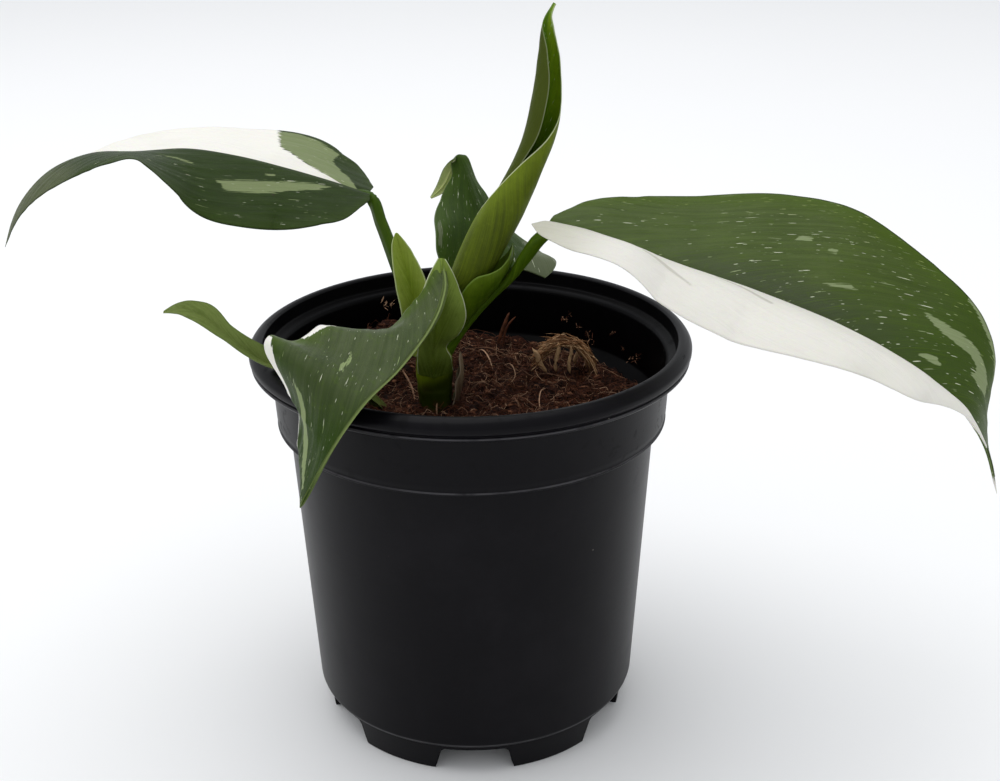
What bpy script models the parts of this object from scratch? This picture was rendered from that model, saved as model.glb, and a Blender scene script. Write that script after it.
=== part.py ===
"""A potted white wizard philodendron: a black nursery pot, coir potting mix, a short stem and seven leaves.

Metres, +Z up. The origin is the middle of the pot's foot, on the surface it stands on. The photograph was
taken from -Y, so the left leaf grows towards -X and the front leaf droops over the rim towards -Y.
"""

import math

import bmesh
import bpy
import numpy as np
from mathutils import Matrix

MM = 0.001

# The pot, moulded in black polypropylene
POT_HEIGHT = 101.5 * MM
RIM_RADIUS = 54.0 * MM
RIM_BORE = 50.5 * MM
LIP_DEPTH = 5.5 * MM
WALL = 1.3 * MM
SHOULDER_TOP_RADIUS = 48.9 * MM
SHOULDER_RADIUS = 48.2 * MM
SHOULDER_HEIGHT = 80.5 * MM
BODY_TOP_RADIUS = 45.3 * MM
BODY_FOOT_RADIUS = 41.2 * MM
FOOT_HEIGHT = 8.4 * MM
FOOT_RADIUS = 39.4 * MM
FOOT_BOTTOM_RADIUS = 38.4 * MM
FOOT_WALL = 2.4 * MM
FLOOR = 1.9 * MM
HUB_RADIUS = 10.0 * MM
HUB_TAPER = 1.5 * MM
FOOT_NOTCHES = 6
NOTCH_HALF_ANGLE = 14.0
NOTCH_HEIGHT = 6.6 * MM
DRAIN_RADIUS = 4.5 * MM
DRAIN_CIRCLE = 25.0 * MM
POT_SIDES = 44

# The potting mix, a loose fill that stands lower on the right
MIX_LEVEL = 83.5 * MM
MIX_MOUND = 7.0 * MM
MIX_CLEARANCE = 0.3 * MM
MIX_RINGS = 14

# The stem, with the leaf bases round its top
STEM_X = -9.0 * MM
STEM_Y = -2.0 * MM
STEM_RADIUS = 4.1 * MM
STEM_FOOT = 62.0 * MM
STEM_TOP = 99.0 * MM
SEAT = 0.3 * MM

# Thickness of a leaf, of the papery old sheath and of the husk
BLADE = 0.7 * MM
PAPER = 0.6 * MM
HUSK = 1.2 * MM
BLADE_ROWS = 20
BLADE_COLUMNS = 10


def clear_scene():
    for thing in list(bpy.data.objects):
        bpy.data.objects.remove(thing, do_unlink=True)


def finish(name, colour, roughness):
    """A plain Principled material in the colour that the piece has in daylight."""
    paint = bpy.data.materials.new(name)
    paint.use_nodes = True
    shader = paint.node_tree.nodes["Principled BSDF"]
    shader.inputs["Base Color"].default_value = (*colour, 1.0)
    shader.inputs["Roughness"].default_value = roughness
    shader.inputs["Metallic"].default_value = 0.0
    return paint


def add_mesh(name, shape, paint):
    """Put a bmesh in the scene as a smooth object."""
    mesh = bpy.data.meshes.new(name)
    shape.to_mesh(mesh)
    shape.free()
    mesh.shade_smooth()
    mesh.set_sharp_from_angle(angle=math.radians(40))
    thing = bpy.data.objects.new(name, mesh)
    thing.data.materials.append(paint)
    bpy.context.collection.objects.link(thing)
    return thing


def settle(thing, helpers=()):
    """Apply a piece's modifiers and take away the objects that shaped it."""
    graph = bpy.context.evaluated_depsgraph_get()
    done = bpy.data.meshes.new_from_object(thing.evaluated_get(graph))
    thing.modifiers.clear()
    thing.data = done
    for helper in helpers:
        bpy.data.objects.remove(helper, do_unlink=True)


def boolean(thing, helpers, operation, solver="EXACT"):
    """Join a piece with, or cut it by, every helper in one step."""
    group = bpy.data.collections.new(thing.name + "_helpers")
    for helper in helpers:
        group.objects.link(helper)
    step = thing.modifiers.new("boolean", "BOOLEAN")
    step.operand_type = "COLLECTION"
    step.collection = group
    step.operation = operation
    step.solver = solver
    settle(thing, helpers)
    bpy.data.collections.remove(group)


def turned(profile, sides, centre=(0.0, 0.0)):
    """Turn a closed outline of (radius, height) points, or an open one that ends on the axis."""
    shape = bmesh.new()
    points = [shape.verts.new((radius, 0.0, height)) for radius, height in profile]
    edges = [shape.edges.new(pair) for pair in zip(points, points[1:])]
    if min(profile[0][0], profile[-1][0]) > 0.0:
        edges.append(shape.edges.new((points[-1], points[0])))
    bmesh.ops.spin(shape, geom=points + edges, cent=(0, 0, 0), axis=(0, 0, 1), angle=math.tau,
                   steps=sides, use_merge=True)
    bmesh.ops.remove_doubles(shape, verts=shape.verts, dist=0.00001)
    bmesh.ops.translate(shape, verts=shape.verts, vec=(centre[0], centre[1], 0.0))
    bmesh.ops.recalc_face_normals(shape, faces=shape.faces)
    return shape


def wall_radius(height):
    """Outer radius of the pot's body at a height between the foot and the shoulder."""
    part = (height - FOOT_HEIGHT) / (SHOULDER_HEIGHT - FOOT_HEIGHT)
    return BODY_FOOT_RADIUS + part * (BODY_TOP_RADIUS - BODY_FOOT_RADIUS)


def pot_outline():
    """The pot's section, from the hub under the floor, up the outside, over the lip and down the inside."""
    lip = POT_HEIGHT - LIP_DEPTH
    floor = FOOT_HEIGHT
    top = floor - WALL + FLOOR
    outside = [
        (HUB_RADIUS, 0.0),
        (HUB_RADIUS + HUB_TAPER, floor - WALL),
        (FOOT_RADIUS - FOOT_WALL, floor - WALL),
        (FOOT_BOTTOM_RADIUS - FOOT_WALL + 0.6 * MM, 0.0),
        (FOOT_BOTTOM_RADIUS, 0.0),
        (FOOT_RADIUS, floor - 0.5 * MM),
        (BODY_FOOT_RADIUS - 0.5 * MM, floor),
        (BODY_FOOT_RADIUS, floor + 1.0 * MM),
        (BODY_TOP_RADIUS, SHOULDER_HEIGHT - 0.5 * MM),
        (BODY_TOP_RADIUS + 0.7 * MM, SHOULDER_HEIGHT),
        (SHOULDER_RADIUS - 1.0 * MM, SHOULDER_HEIGHT + 0.8 * MM),
        (SHOULDER_RADIUS, SHOULDER_HEIGHT + 2.4 * MM),
        (SHOULDER_TOP_RADIUS, lip - 0.4 * MM),
        (SHOULDER_TOP_RADIUS + 1.2 * MM, lip),
        (RIM_RADIUS - 1.0 * MM, lip + 0.1 * MM),
        (RIM_RADIUS - 0.3 * MM, lip + 0.9 * MM),
        (RIM_RADIUS - 0.8 * MM, lip + 1.5 * MM),
        (RIM_RADIUS - 0.1 * MM, lip + 2.2 * MM),
        (RIM_RADIUS, lip + 3.6 * MM),
        (RIM_RADIUS - 0.8 * MM, lip + 4.8 * MM),
        (RIM_RADIUS - 2.0 * MM, POT_HEIGHT),
        (RIM_BORE + 0.5 * MM, POT_HEIGHT),
        (RIM_BORE, POT_HEIGHT - 0.4 * MM),
    ]
    inside = [
        (RIM_BORE - 0.3 * MM, POT_HEIGHT - 3.8 * MM),
        (SHOULDER_TOP_RADIUS - 0.4 * MM, POT_HEIGHT - 4.3 * MM),
        (SHOULDER_TOP_RADIUS - WALL, POT_HEIGHT - 5.2 * MM),
        (SHOULDER_RADIUS - WALL, SHOULDER_HEIGHT + 3.4 * MM),
        (BODY_TOP_RADIUS - WALL, SHOULDER_HEIGHT + 0.6 * MM),
        (BODY_FOOT_RADIUS - WALL, floor + 2.0 * MM),
        (BODY_FOOT_RADIUS - 2.4 * MM, top),
        (HUB_RADIUS + HUB_TAPER - WALL, top),
        (HUB_RADIUS - WALL, WALL),
    ]
    return [(0.0, 0.0)] + outside + inside + [(0.0, WALL)]


def notch(angle):
    """A block with sloped sides that cuts one drainage notch in the foot."""
    shape = bmesh.new()
    bmesh.ops.create_cube(shape, size=1.0)
    reach = FOOT_RADIUS + 3.0 * MM
    half = reach * math.tan(math.radians(NOTCH_HALF_ANGLE))
    for corner in shape.verts:
        side = 1.0 if corner.co.x > 0 else -1.0
        top = corner.co.z > 0
        outer = corner.co.y < 0
        width = half * (0.86 if top else 1.08) * (1.0 if outer else 0.78)
        corner.co.x = side * width
        corner.co.y = -reach if outer else -(FOOT_RADIUS - 7.0 * MM)
        corner.co.z = NOTCH_HEIGHT if top else -1.0 * MM
    bmesh.ops.rotate(shape, verts=shape.verts, cent=(0, 0, 0), matrix=Matrix.Rotation(angle, 3, "Z"))
    bmesh.ops.recalc_face_normals(shape, faces=shape.faces)
    return shape


def drain(x, y):
    shape = bmesh.new()
    place = Matrix.Translation((x, y, FOOT_HEIGHT))
    bmesh.ops.create_cone(shape, cap_ends=True, segments=12, radius1=DRAIN_RADIUS, radius2=DRAIN_RADIUS,
                          depth=8.0 * MM, matrix=place)
    return shape


def make_pot():
    black = finish("pot_black", (0.012, 0.012, 0.014), 0.42)
    pot = add_mesh("pot", turned(pot_outline(), POT_SIDES), black)
    cutters = []
    for turn in range(FOOT_NOTCHES):
        angle = math.tau * turn / FOOT_NOTCHES
        cutters.append(add_mesh("notch_%d" % turn, notch(angle), black))
        between = angle + math.pi / FOOT_NOTCHES
        hole = drain(DRAIN_CIRCLE * math.sin(between), DRAIN_CIRCLE * math.cos(between))
        cutters.append(add_mesh("drain_%d" % turn, hole, black))
    boolean(pot, cutters, "DIFFERENCE")
    return pot


def mix_height(x, y):
    """The uneven top of the potting mix: a mound behind on the left, a hollow on the right, and crumbs."""
    u, v = x / MM, y / MM
    mound = MIX_MOUND * math.exp(-((u + 24) ** 2 + (v - 36) ** 2) / 520.0)
    slope = (-0.030 * u - 0.012 * v) * MM
    lumps = 0.55 * math.sin(0.31 * u + 1.3) * math.sin(0.27 * v - 0.6) + 0.35 * math.sin(0.62 * u - 0.43 * v)
    crumbs = 0.30 * math.sin(1.37 * u + 0.9 * v) * math.sin(1.13 * v - 0.51 * u + 2.0)
    level = 1.0 - math.exp(-((u + 9) ** 2 + (v + 2) ** 2) / 60.0)
    return MIX_LEVEL + mound + slope + (lumps + crumbs) * level * MM


def mix_shape(lift=0.0):
    """The mix as a turned block with its top laid on the uneven surface, all of it lifted by lift."""
    foot = FOOT_HEIGHT + 3.0 * MM
    inner = [(wall_radius(z) - WALL - MIX_CLEARANCE, z) for z in (foot, SHOULDER_HEIGHT - 0.5 * MM)]
    base = FOOT_HEIGHT - WALL + FLOOR + MIX_CLEARANCE
    well = WALL + MIX_CLEARANCE
    edge = inner[1][0]
    rings = [(edge * (1.0 - ring / MIX_RINGS), MIX_LEVEL) for ring in range(1, MIX_RINGS)]
    hub = HUB_RADIUS - WALL - MIX_CLEARANCE
    outline = [(0.0, well), (hub, well), (hub + HUB_TAPER, base), (inner[0][0] - 3.0 * MM, base), *inner,
               (edge, MIX_LEVEL - 1.0 * MM), *rings, (0.0, MIX_LEVEL)]
    shape = turned(outline, POT_SIDES)
    for point in shape.verts:
        if point.co.z > MIX_LEVEL - 1.5 * MM:
            point.co.z = mix_height(point.co.x, point.co.y)
    bmesh.ops.triangulate(shape, faces=shape.faces)
    bmesh.ops.translate(shape, verts=shape.verts, vec=(0.0, 0.0, lift))
    return shape


def make_mix():
    brown = finish("coir_brown", (0.070, 0.028, 0.014), 0.95)
    mix = add_mesh("potting_mix", mix_shape(), brown)
    hole = turned([(0.0, STEM_FOOT - SEAT), (STEM_RADIUS + SEAT, STEM_FOOT - SEAT),
                   (STEM_RADIUS + SEAT, POT_HEIGHT), (0.0, POT_HEIGHT)], 16, (STEM_X, STEM_Y))
    boolean(mix, [add_mesh("stem_hole", hole, brown)], "DIFFERENCE")
    return mix


def stem_outline(grow=0.0):
    """The stem's section: a plain shank in the mix, a swollen node and a rounded top."""
    points = [
        (STEM_RADIUS - 0.5 * MM, STEM_FOOT),
        (STEM_RADIUS - 0.1 * MM, STEM_FOOT + 4.0 * MM),
        (STEM_RADIUS - 0.1 * MM, MIX_LEVEL + 2.0 * MM),
        (STEM_RADIUS + 0.1 * MM, MIX_LEVEL + 6.0 * MM),
        (STEM_RADIUS - 0.1 * MM, STEM_TOP - 5.0 * MM),
        (STEM_RADIUS + 0.3 * MM, STEM_TOP - 3.0 * MM),
        (STEM_RADIUS - 0.4 * MM, STEM_TOP - 1.2 * MM),
        (STEM_RADIUS - 2.0 * MM, STEM_TOP - 0.2 * MM),
    ]
    crown = STEM_TOP - 1.5 * MM
    grown = [(radius + grow, height + (grow if height > crown else 0.0)) for radius, height in points]
    return [(0.0, STEM_FOOT - grow)] + grown + [(0.0, STEM_TOP + grow)]


def make_stem():
    green = finish("stem_green", (0.20, 0.26, 0.05), 0.5)
    return add_mesh("stem", turned(stem_outline(), 16, (STEM_X, STEM_Y)), green)


def smooth_line(knots, values, at):
    """A smooth curve through values at the knots, read at the given places."""
    knots = np.asarray(knots, float)
    values = np.asarray(values, float)
    step = np.diff(knots)[:, None]
    chord = np.diff(values, axis=0) / step
    slope = np.zeros_like(values)
    slope[1:-1] = (chord[:-1] * step[1:] + chord[1:] * step[:-1]) / (step[1:] + step[:-1])
    slope[0] = 1.5 * chord[0] - 0.5 * slope[1]
    slope[-1] = 1.5 * chord[-1] - 0.5 * slope[-2]
    at = np.atleast_1d(np.asarray(at, float))
    low = np.clip(np.searchsorted(knots, at, side="right") - 1, 0, len(knots) - 2)
    gap = step[low]
    t = (at - knots[low])[:, None] / gap
    return ((2 * t**3 - 3 * t**2 + 1) * values[low] + (t**3 - 2 * t**2 + t) * gap * slope[low]
            + (3 * t**2 - 2 * t**3) * values[low + 1] + (t**3 - t**2) * gap * slope[low + 1])


def unit(rows):
    return rows / np.linalg.norm(rows, axis=-1, keepdims=True)


class Blade:
    """A leaf blade as a bent sheet on its midrib.

    Each station is (x, y, z, left width, left angle, left curl, right width, right angle, right curl), from
    base to tip, in millimetres and degrees. Left and right are seen from above, looking from base to tip. An
    angle lifts a half from level at the midrib, and its curl is how far it turns further by the margin. face
    is the way the upper side looks, one for the leaf or one for each station. lobes are how far the two halves
    run back past the base, and ripple is the height of the waves along the margins.
    """

    def __init__(self, stations, face, lobes=(0.0, 0.0), lobe_reach=0.1, ripple=0.0, waves=6.0):
        self.stations = np.asarray(stations, float)
        self.stations[:, :3] *= MM
        self.stations[:, [3, 6]] *= MM
        face = np.asarray(face, float)
        self.face = face if face.ndim == 2 else np.tile(face, (len(self.stations), 1))
        steps = np.linalg.norm(np.diff(self.stations[:, :3], axis=0), axis=1)
        self.knots = np.concatenate([[0.0], np.cumsum(steps)]) / steps.sum()
        self.lobes = lobes
        self.lobe_reach = lobe_reach
        self.ripple = ripple * MM
        self.waves = waves

    def frame(self, along):
        """Midrib point, the way to the tip, the upper side's normal and the way to the left margin."""
        point = smooth_line(self.knots, self.stations[:, :3], along)
        before = smooth_line(self.knots, self.stations[:, :3], np.clip(along - 0.001, 0, 1))
        after = smooth_line(self.knots, self.stations[:, :3], np.clip(along + 0.001, 0, 1))
        onward = unit(after - before)
        face = smooth_line(self.knots, self.face, along)
        normal = unit(face - (face * onward).sum(1, keepdims=True) * onward)
        return point, onward, normal, np.cross(normal, onward)

    def surface(self, along, across):
        """Points at along 0 to 1 from base to tip and across -1 to 1 from right margin to left."""
        point, onward, normal, leftward = self.frame(along)
        shape = smooth_line(self.knots, self.stations[:, 3:], along)
        left = across >= 0
        width = np.where(left, shape[:, 0], shape[:, 3])
        angle = np.radians(np.where(left, shape[:, 1], shape[:, 4]))
        curl = np.radians(np.where(left, shape[:, 2], shape[:, 5]))
        curl = np.where(np.abs(curl) < 0.001, 0.001, curl)
        reach = np.abs(across)
        out = width * (np.sin(angle + curl * reach) - np.sin(angle)) / curl
        up = width * (np.cos(angle) - np.cos(angle + curl * reach)) / curl
        lobe = np.where(left, self.lobes[0], self.lobes[1]) * MM
        back = -lobe * np.exp(-along / self.lobe_reach) * reach**2
        phase = np.where(left, 0.7, 2.1)
        taper = np.sqrt(np.clip(4 * along * (1 - along), 0, 1))
        wave = np.sin(math.tau * self.waves * along + phase) * reach**3 * taper
        side = np.where(left, 1.0, -1.0)
        return (point + (side * out)[:, None] * leftward + (up + self.ripple * wave)[:, None] * normal
                + back[:, None] * onward)


def spread(part):
    """Even steps drawn together near the base and the tip."""
    return 0.4 * part + 0.6 * (1.0 - np.cos(math.pi * part)) / 2.0


def blade_sheet(name, blade, paint, rows=BLADE_ROWS, columns=BLADE_COLUMNS, thickness=BLADE,
                span=(-1.0, 1.0)):
    """The blade, or the part of its width in span, as a thin solid with the same triangles on both faces."""
    shape = bmesh.new()
    bmesh.ops.create_grid(shape, x_segments=rows, y_segments=columns, size=1.0)
    flat = np.array([point.co[:] for point in shape.verts])
    across = span[0] + (span[1] - span[0]) * (flat[:, 1] + 1.0) / 2.0
    placed = blade.surface(spread((flat[:, 0] + 1.0) / 2.0), across)
    for point, place in zip(shape.verts, placed):
        point.co = place
    bmesh.ops.triangulate(shape, faces=shape.faces, quad_method="SHORT_EDGE")
    thing = add_mesh(name, shape, paint)
    solid = thing.modifiers.new("thickness", "SOLIDIFY")
    solid.thickness = thickness
    solid.offset = 0.0
    settle(thing)
    return thing


def stalk(name, route, radii, paint, points=14):
    """A petiole or a rib: a round tapering tube on a smooth route in millimetres."""
    route = np.asarray(route, float) * MM
    steps = np.linalg.norm(np.diff(route, axis=0), axis=1)
    knots = np.concatenate([[0.0], np.cumsum(steps)]) / steps.sum()
    along = np.linspace(0.0, 1.0, points)
    places = smooth_line(knots, route, along)
    sizes = smooth_line(knots, np.asarray(radii, float)[:, None], along)[:, 0]
    curve = bpy.data.curves.new(name, "CURVE")
    curve.dimensions = "3D"
    curve.bevel_depth = MM
    curve.bevel_resolution = 1
    curve.use_fill_caps = True
    line = curve.splines.new("POLY")
    line.points.add(points - 1)
    for knot, place, size in zip(line.points, places, sizes):
        knot.co = (*place, 1.0)
        knot.radius = size
    guide = bpy.data.objects.new(name + "_curve", curve)
    bpy.context.collection.objects.link(guide)
    graph = bpy.context.evaluated_depsgraph_get()
    mesh = bpy.data.meshes.new_from_object(guide.evaluated_get(graph))
    bpy.data.objects.remove(guide, do_unlink=True)
    shape = bmesh.new()
    shape.from_mesh(mesh)
    bmesh.ops.remove_doubles(shape, verts=shape.verts, dist=0.00001)
    bmesh.ops.recalc_face_normals(shape, faces=shape.faces)
    return add_mesh(name, shape, paint)


def rib(name, blade, thick, thin, paint, start=0.0, end=0.86, points=14):
    """The midrib: a tapering cord half sunk in the underside of the blade."""
    along = np.linspace(start, end, points)
    point, onward, normal, leftward = blade.frame(along)
    sizes = np.linspace(thick, thin, points)
    route = point / MM - normal * (0.75 * sizes)[:, None]
    return stalk(name, route, sizes, paint, points)


def stem_seat():
    """The stem grown by the gap that keeps the leaf bases off it."""
    return turned(stem_outline(SEAT), 16, (STEM_X, STEM_Y))


def join_leaf(sheet, others, solver="EXACT"):
    """Fuse a leaf's blade, rib and petiole, and cut its base to sit on the stem."""
    boolean(sheet, others, "UNION", solver)
    seat = add_mesh(sheet.name + "_seat", stem_seat(), sheet.data.materials[0])
    boolean(sheet, [seat], "DIFFERENCE", solver)
    return sheet


def make_leaf_left():
    """The old leaf on the left: a broad arched blade with its tip bent down, on a thin petiole."""
    green = finish("leaf_left_green", (0.10, 0.16, 0.04), 0.45)
    blade = Blade([
        (-24.0, 9.0, 134.4, 4.5, -4, -10, 4.5, -3, 10),
        (-27.0, 9.0, 135.4, 12.5, -10, -10, 12.5, -1, 10),
        (-33.0, 9.0, 137.4, 18.8, -14, -10, 18.8, 1, 10),
        (-44.0, 9.0, 140.8, 24.5, -17, -10, 24.5, 2, 10),
        (-55.5, 7.0, 144.4, 26.2, -18, -10, 26.2, -4, 10),
        (-67.0, 6.0, 146.4, 25.3, -6, -10, 25.3, -7, 10),
        (-78.5, 4.0, 146.1, 22.3, 14, -10, 22.3, -9, 10),
        (-88.5, 1.0, 146.5, 18.3, 8, -10, 18.3, -19, 10),
        (-97.3, -2.0, 143.4, 13.5, 2, -10, 13.5, -19, 10),
        (-103.7, -4.0, 137.3, 8.3, 1, -10, 8.3, -16, 10),
        (-109.0, -5.6, 126.0, 0.5, 0, -10, 0.5, -15, 10),
    ], face=(0, 0, 1), lobes=(0.5, 0.5))
    sheet = blade_sheet("leaf_left", blade, green)
    route = [(-10.5, 0, 96.5), (-13, 1.5, 104), (-17.5, 4.5, 116), (-21.5, 7.5, 127), (-24.3, 9, 133.4),
             (-27.5, 9, 134.6)]
    petiole = stalk("left_petiole", route, [1.6, 1.8, 1.7, 1.6, 1.4, 1.0], green)
    return join_leaf(sheet, [petiole, rib("left_rib", blade, 1.3, 0.55, green)])


def make_leaf_right():
    """The big leaf on the right: its near half droops, and its petiole sheathes the upright leaf's foot."""
    green = finish("leaf_right_green", (0.12, 0.17, 0.05), 0.42)
    blade = Blade([
        (18.8, -7.0, 131.5, 3.5, 5, 5, 4.0, 23, -50),
        (21.5, -8.0, 131.2, 9.0, 8, 5, 9.5, 23, -50),
        (26.0, -9.5, 130.5, 13.8, 12, 5, 13.8, 23, -50),
        (35.0, -12.0, 127.6, 20.4, 15, 5, 20.4, 31, -50),
        (47.0, -14.5, 123.7, 25.5, 20, 5, 25.5, 23, -50),
        (65.5, -20.0, 118.6, 28.3, 35, 5, 28.3, 21, -50),
        (79.0, -26.5, 114.6, 27.4, 43, 5, 27.4, 25, -50),
        (92.6, -32.0, 108.8, 24.1, 42, 5, 24.1, 30, -50),
        (102.6, -36.5, 102.9, 19.9, 42, 5, 19.9, 34, -50),
        (109.2, -40.0, 97.7, 15.8, 22, 5, 15.8, 40, -50),
        (114.6, -42.0, 90.0, 10.4, 1, 5, 10.4, 27, -50),
        (118.6, -42.5, 77.8, 0.5, 9, 5, 0.5, 0, -50),
    ], face=(0, 0, 1), lobes=(0, 3), lobe_reach=0.08)
    sheath = Blade([
        (-4.4, -1.2, 100.1, 1.2, 0, 20, 4.2, 0, 95),
        (0.5, -1.0, 106.6, 3.0, 0, 25, 7.3, 0, 108),
        (4.9, -0.8, 111.8, 5.4, 0, 42, 9.9, 0, 99),
        (7.8, -0.7, 115.6, 6.3, 0, 56, 8.9, 0, 80),
        (9.6, -0.8, 119.4, 4.2, 0, 40, 4.6, 0, 45),
        (10.4, -1.0, 124.3, 0.5, 0, 10, 0.5, 0, 10),
    ], face=(-0.81, 0, 0.59))
    sheet = blade_sheet("leaf_right", blade, green)
    route = [(-5.8, -1.3, 96.4), (-3.8, -1.1, 99.5), (0.9, -1, 106.0), (5.5, -1, 111.2), (9.8, -1.6, 115.9),
             (13.8, -3.5, 122.3), (16.8, -5.5, 126.9), (20.5, -7.5, 129.9)]
    petiole = stalk("right_petiole", route, [1.6, 1.6, 1.7, 1.8, 1.8, 1.7, 1.6, 1.2], green)
    wrap = blade_sheet("right_sheath", sheath, green, rows=10, columns=8)
    return join_leaf(sheet, [petiole, wrap, rib("right_rib", blade, 1.4, 0.55, green)])


def make_leaf_upright():
    """The youngest leaf: still rolled into a tube below, open and hooked over at the top."""
    green = finish("leaf_upright_green", (0.20, 0.28, 0.05), 0.4)
    blade = Blade([
        (-4.9, 2.0, 104.5, 3.4, 0, 120, 7.0, 0, 200),
        (-3.1, 2.8, 108.5, 5.9, 0, 160, 13.7, 0, 280),
        (-1.2, 4.0, 113.0, 9.2, 0, 170, 20.9, 0, 300),
        (3.0, 4.5, 122.2, 10.4, 0, 170, 23.2, 0, 295),
        (9.3, 4.6, 134.0, 12.2, 0, 175, 21.7, 0, 270),
        (14.1, 3.9, 143.0, 11.9, 0, 180, 11.9, 0, 180),
        (16.9, 3.5, 151.0, 11.0, 0, 180, 6.4, 0, 103),
        (18.2, 3.2, 157.5, 10.5, 0, 180, 5.9, 0, 95),
        (18.7, 2.0, 167.7, 7.5, 0, 180, 3.8, 0, 80),
        (18.5, 0.8, 174.4, 3.4, 0, 140, 1.8, 0, 50),
        (18.8, 0.0, 177.5, 0.9, 0, 60, 0.8, 0, 20),
        (20.1, -0.4, 180.2, 0.4, 0, 10, 0.4, 0, 10),
    ], face=(0, -1, 0.1))
    sheet = blade_sheet("leaf_upright", blade, green, rows=22, columns=16)
    route = [(-8.2, -1.5, 97), (-7.5, -0.2, 100), (-6.2, 1.4, 103), (-4.2, 2.7, 106.5)]
    petiole = stalk("upright_petiole", route, [1.5, 1.4, 1.3, 1.0], green, points=12)
    return join_leaf(sheet, [petiole, rib("upright_rib", blade, 0.9, 0.5, green, 0.0, 0.8)])


def make_leaf_back():
    """The leaf behind the rolled one: its upper side faces the front and its narrow tip is turned back."""
    green = finish("leaf_back_green", (0.05, 0.11, 0.03), 0.42)
    blade = Blade([
        (5.5, 10.0, 114.5, 9.0, 18, -10, 11.0, 8, -10),
        (5.2, 11.8, 116.6, 12.5, 22, -10, 14.0, -6, -10),
        (4.4, 14.4, 119.3, 14.0, 28, -10, 14.5, -30, -10),
        (2.2, 19.0, 124.5, 12.5, 30, -10, 10.5, -47, -10),
        (0.0, 23.0, 131.1, 8.2, -7, -10, 6.4, -50, -10),
        (-1.6, 26.5, 136.3, 3.8, -28, -10, 3.4, -45, -10),
        (-3.1, 28.3, 138.6, 2.2, -20, -10, 2.0, -20, -10),
        (-5.1, 29.0, 135.2, 1.8, 0, -10, 1.8, 0, -10),
        (-8.8, 28.5, 128.4, 0.4, 0, -10, 0.4, 0, -10),
    ], face=[(0, -0.9, 0.45)] * 5 + [(0, -0.7, 0.7), (-0.3, -0.1, 1), (-0.7, 0.5, 0.5), (-0.8, 0.6, 0)],
        lobes=(3, 4), lobe_reach=0.2)
    sheet = blade_sheet("leaf_back", blade, green, rows=18, columns=8)
    route = [(-8.5, 2.0, 94.5), (-7, 5.4, 99.5), (-2, 8.6, 105.5), (2.8, 10.2, 110), (5.5, 10.8, 114.5),
             (5.1, 12.6, 117)]
    petiole = stalk("back_petiole", route, [1.7, 1.6, 1.5, 1.4, 1.3, 0.9], green)
    return join_leaf(sheet, [petiole, rib("back_rib", blade, 1.1, 0.45, green, 0.0, 0.75)])


def make_leaf_front():
    """The leaf in front: folded along its midrib, bent over its sheath's top and hung over the rim."""
    green = finish("leaf_front_green", (0.06, 0.12, 0.04), 0.4)
    blade = Blade([
        (-6.4, -5.0, 121.9, 1.4, -150, 0, 1.4, -4, -10),
        (-5.2, -12.5, 117.9, 7.0, -145, -10, 8.2, -11, -10),
        (-5.8, -17.0, 115.8, 10.5, -143, -14, 11.7, -13, -10),
        (-8.5, -29.0, 112.9, 17.0, -158, -14, 18.8, 3, -10),
        (-10.9, -35.6, 111.3, 20.5, -163, -14, 22.9, 13.5, -10),
        (-14.5, -43.3, 109.2, 23.0, -168, -14, 24.1, 15, -10),
        (-22.2, -56.7, 105.5, 23.5, -182, -4, 26.0, 24, -10),
        (-28.8, -58.6, 96.3, 18.0, -168, -4, 21.3, 2, -10),
        (-33.6, -56.5, 87.1, 10.0, -150, 0, 13.3, -2, -10),
        (-36.4, -55.1, 82.0, 0.5, -150, 0, 0.5, -7, -10),
    ], face=(-0.25, -0.52, 0.77))
    sheath = Blade([
        (-9.0, -6.7, 95.0, 5.3, 0, 64, 4.0, 0, 50),
        (-8.8, -7.3, 98.5, 5.6, 0, 50, 4.0, 0, 45),
        (-8.3, -9.4, 105.0, 7.9, 0, 36, 4.4, 0, 45),
        (-7.6, -9.9, 112.0, 8.5, 0, 30, 4.5, 0, 40),
        (-6.9, -8.0, 118.0, 5.5, 0, 40, 3.0, 0, 30),
        (-6.4, -5.6, 122.2, 1.0, 0, 20, 1.0, 0, 20),
    ], face=(0, 1, 0.1))
    sheet = blade_sheet("leaf_front", blade, green, rows=20, columns=5, span=(-1.0, 0.0))
    under = blade_sheet("front_under", blade, green, rows=20, columns=4, span=(0.0, 1.0))
    wrap = blade_sheet("front_sheath", sheath, green, rows=10, columns=6)
    route = [(-8.9, -7.6, 97), (-8.3, -9.9, 105), (-7.6, -10.4, 112), (-6.8, -8.3, 118), (-6.2, -6.0, 121.6)]
    keel = stalk("front_keel", route, [0.9, 0.9, 0.9, 1.0, 1.0], green)
    cord = rib("front_rib", blade, 1.0, 0.5, green, 0.0, 0.97)
    # The two halves share the midrib's line, which only the MANIFOLD solver joins cleanly.
    return join_leaf(sheet, [under, wrap, keel, cord], "MANIFOLD")


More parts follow.
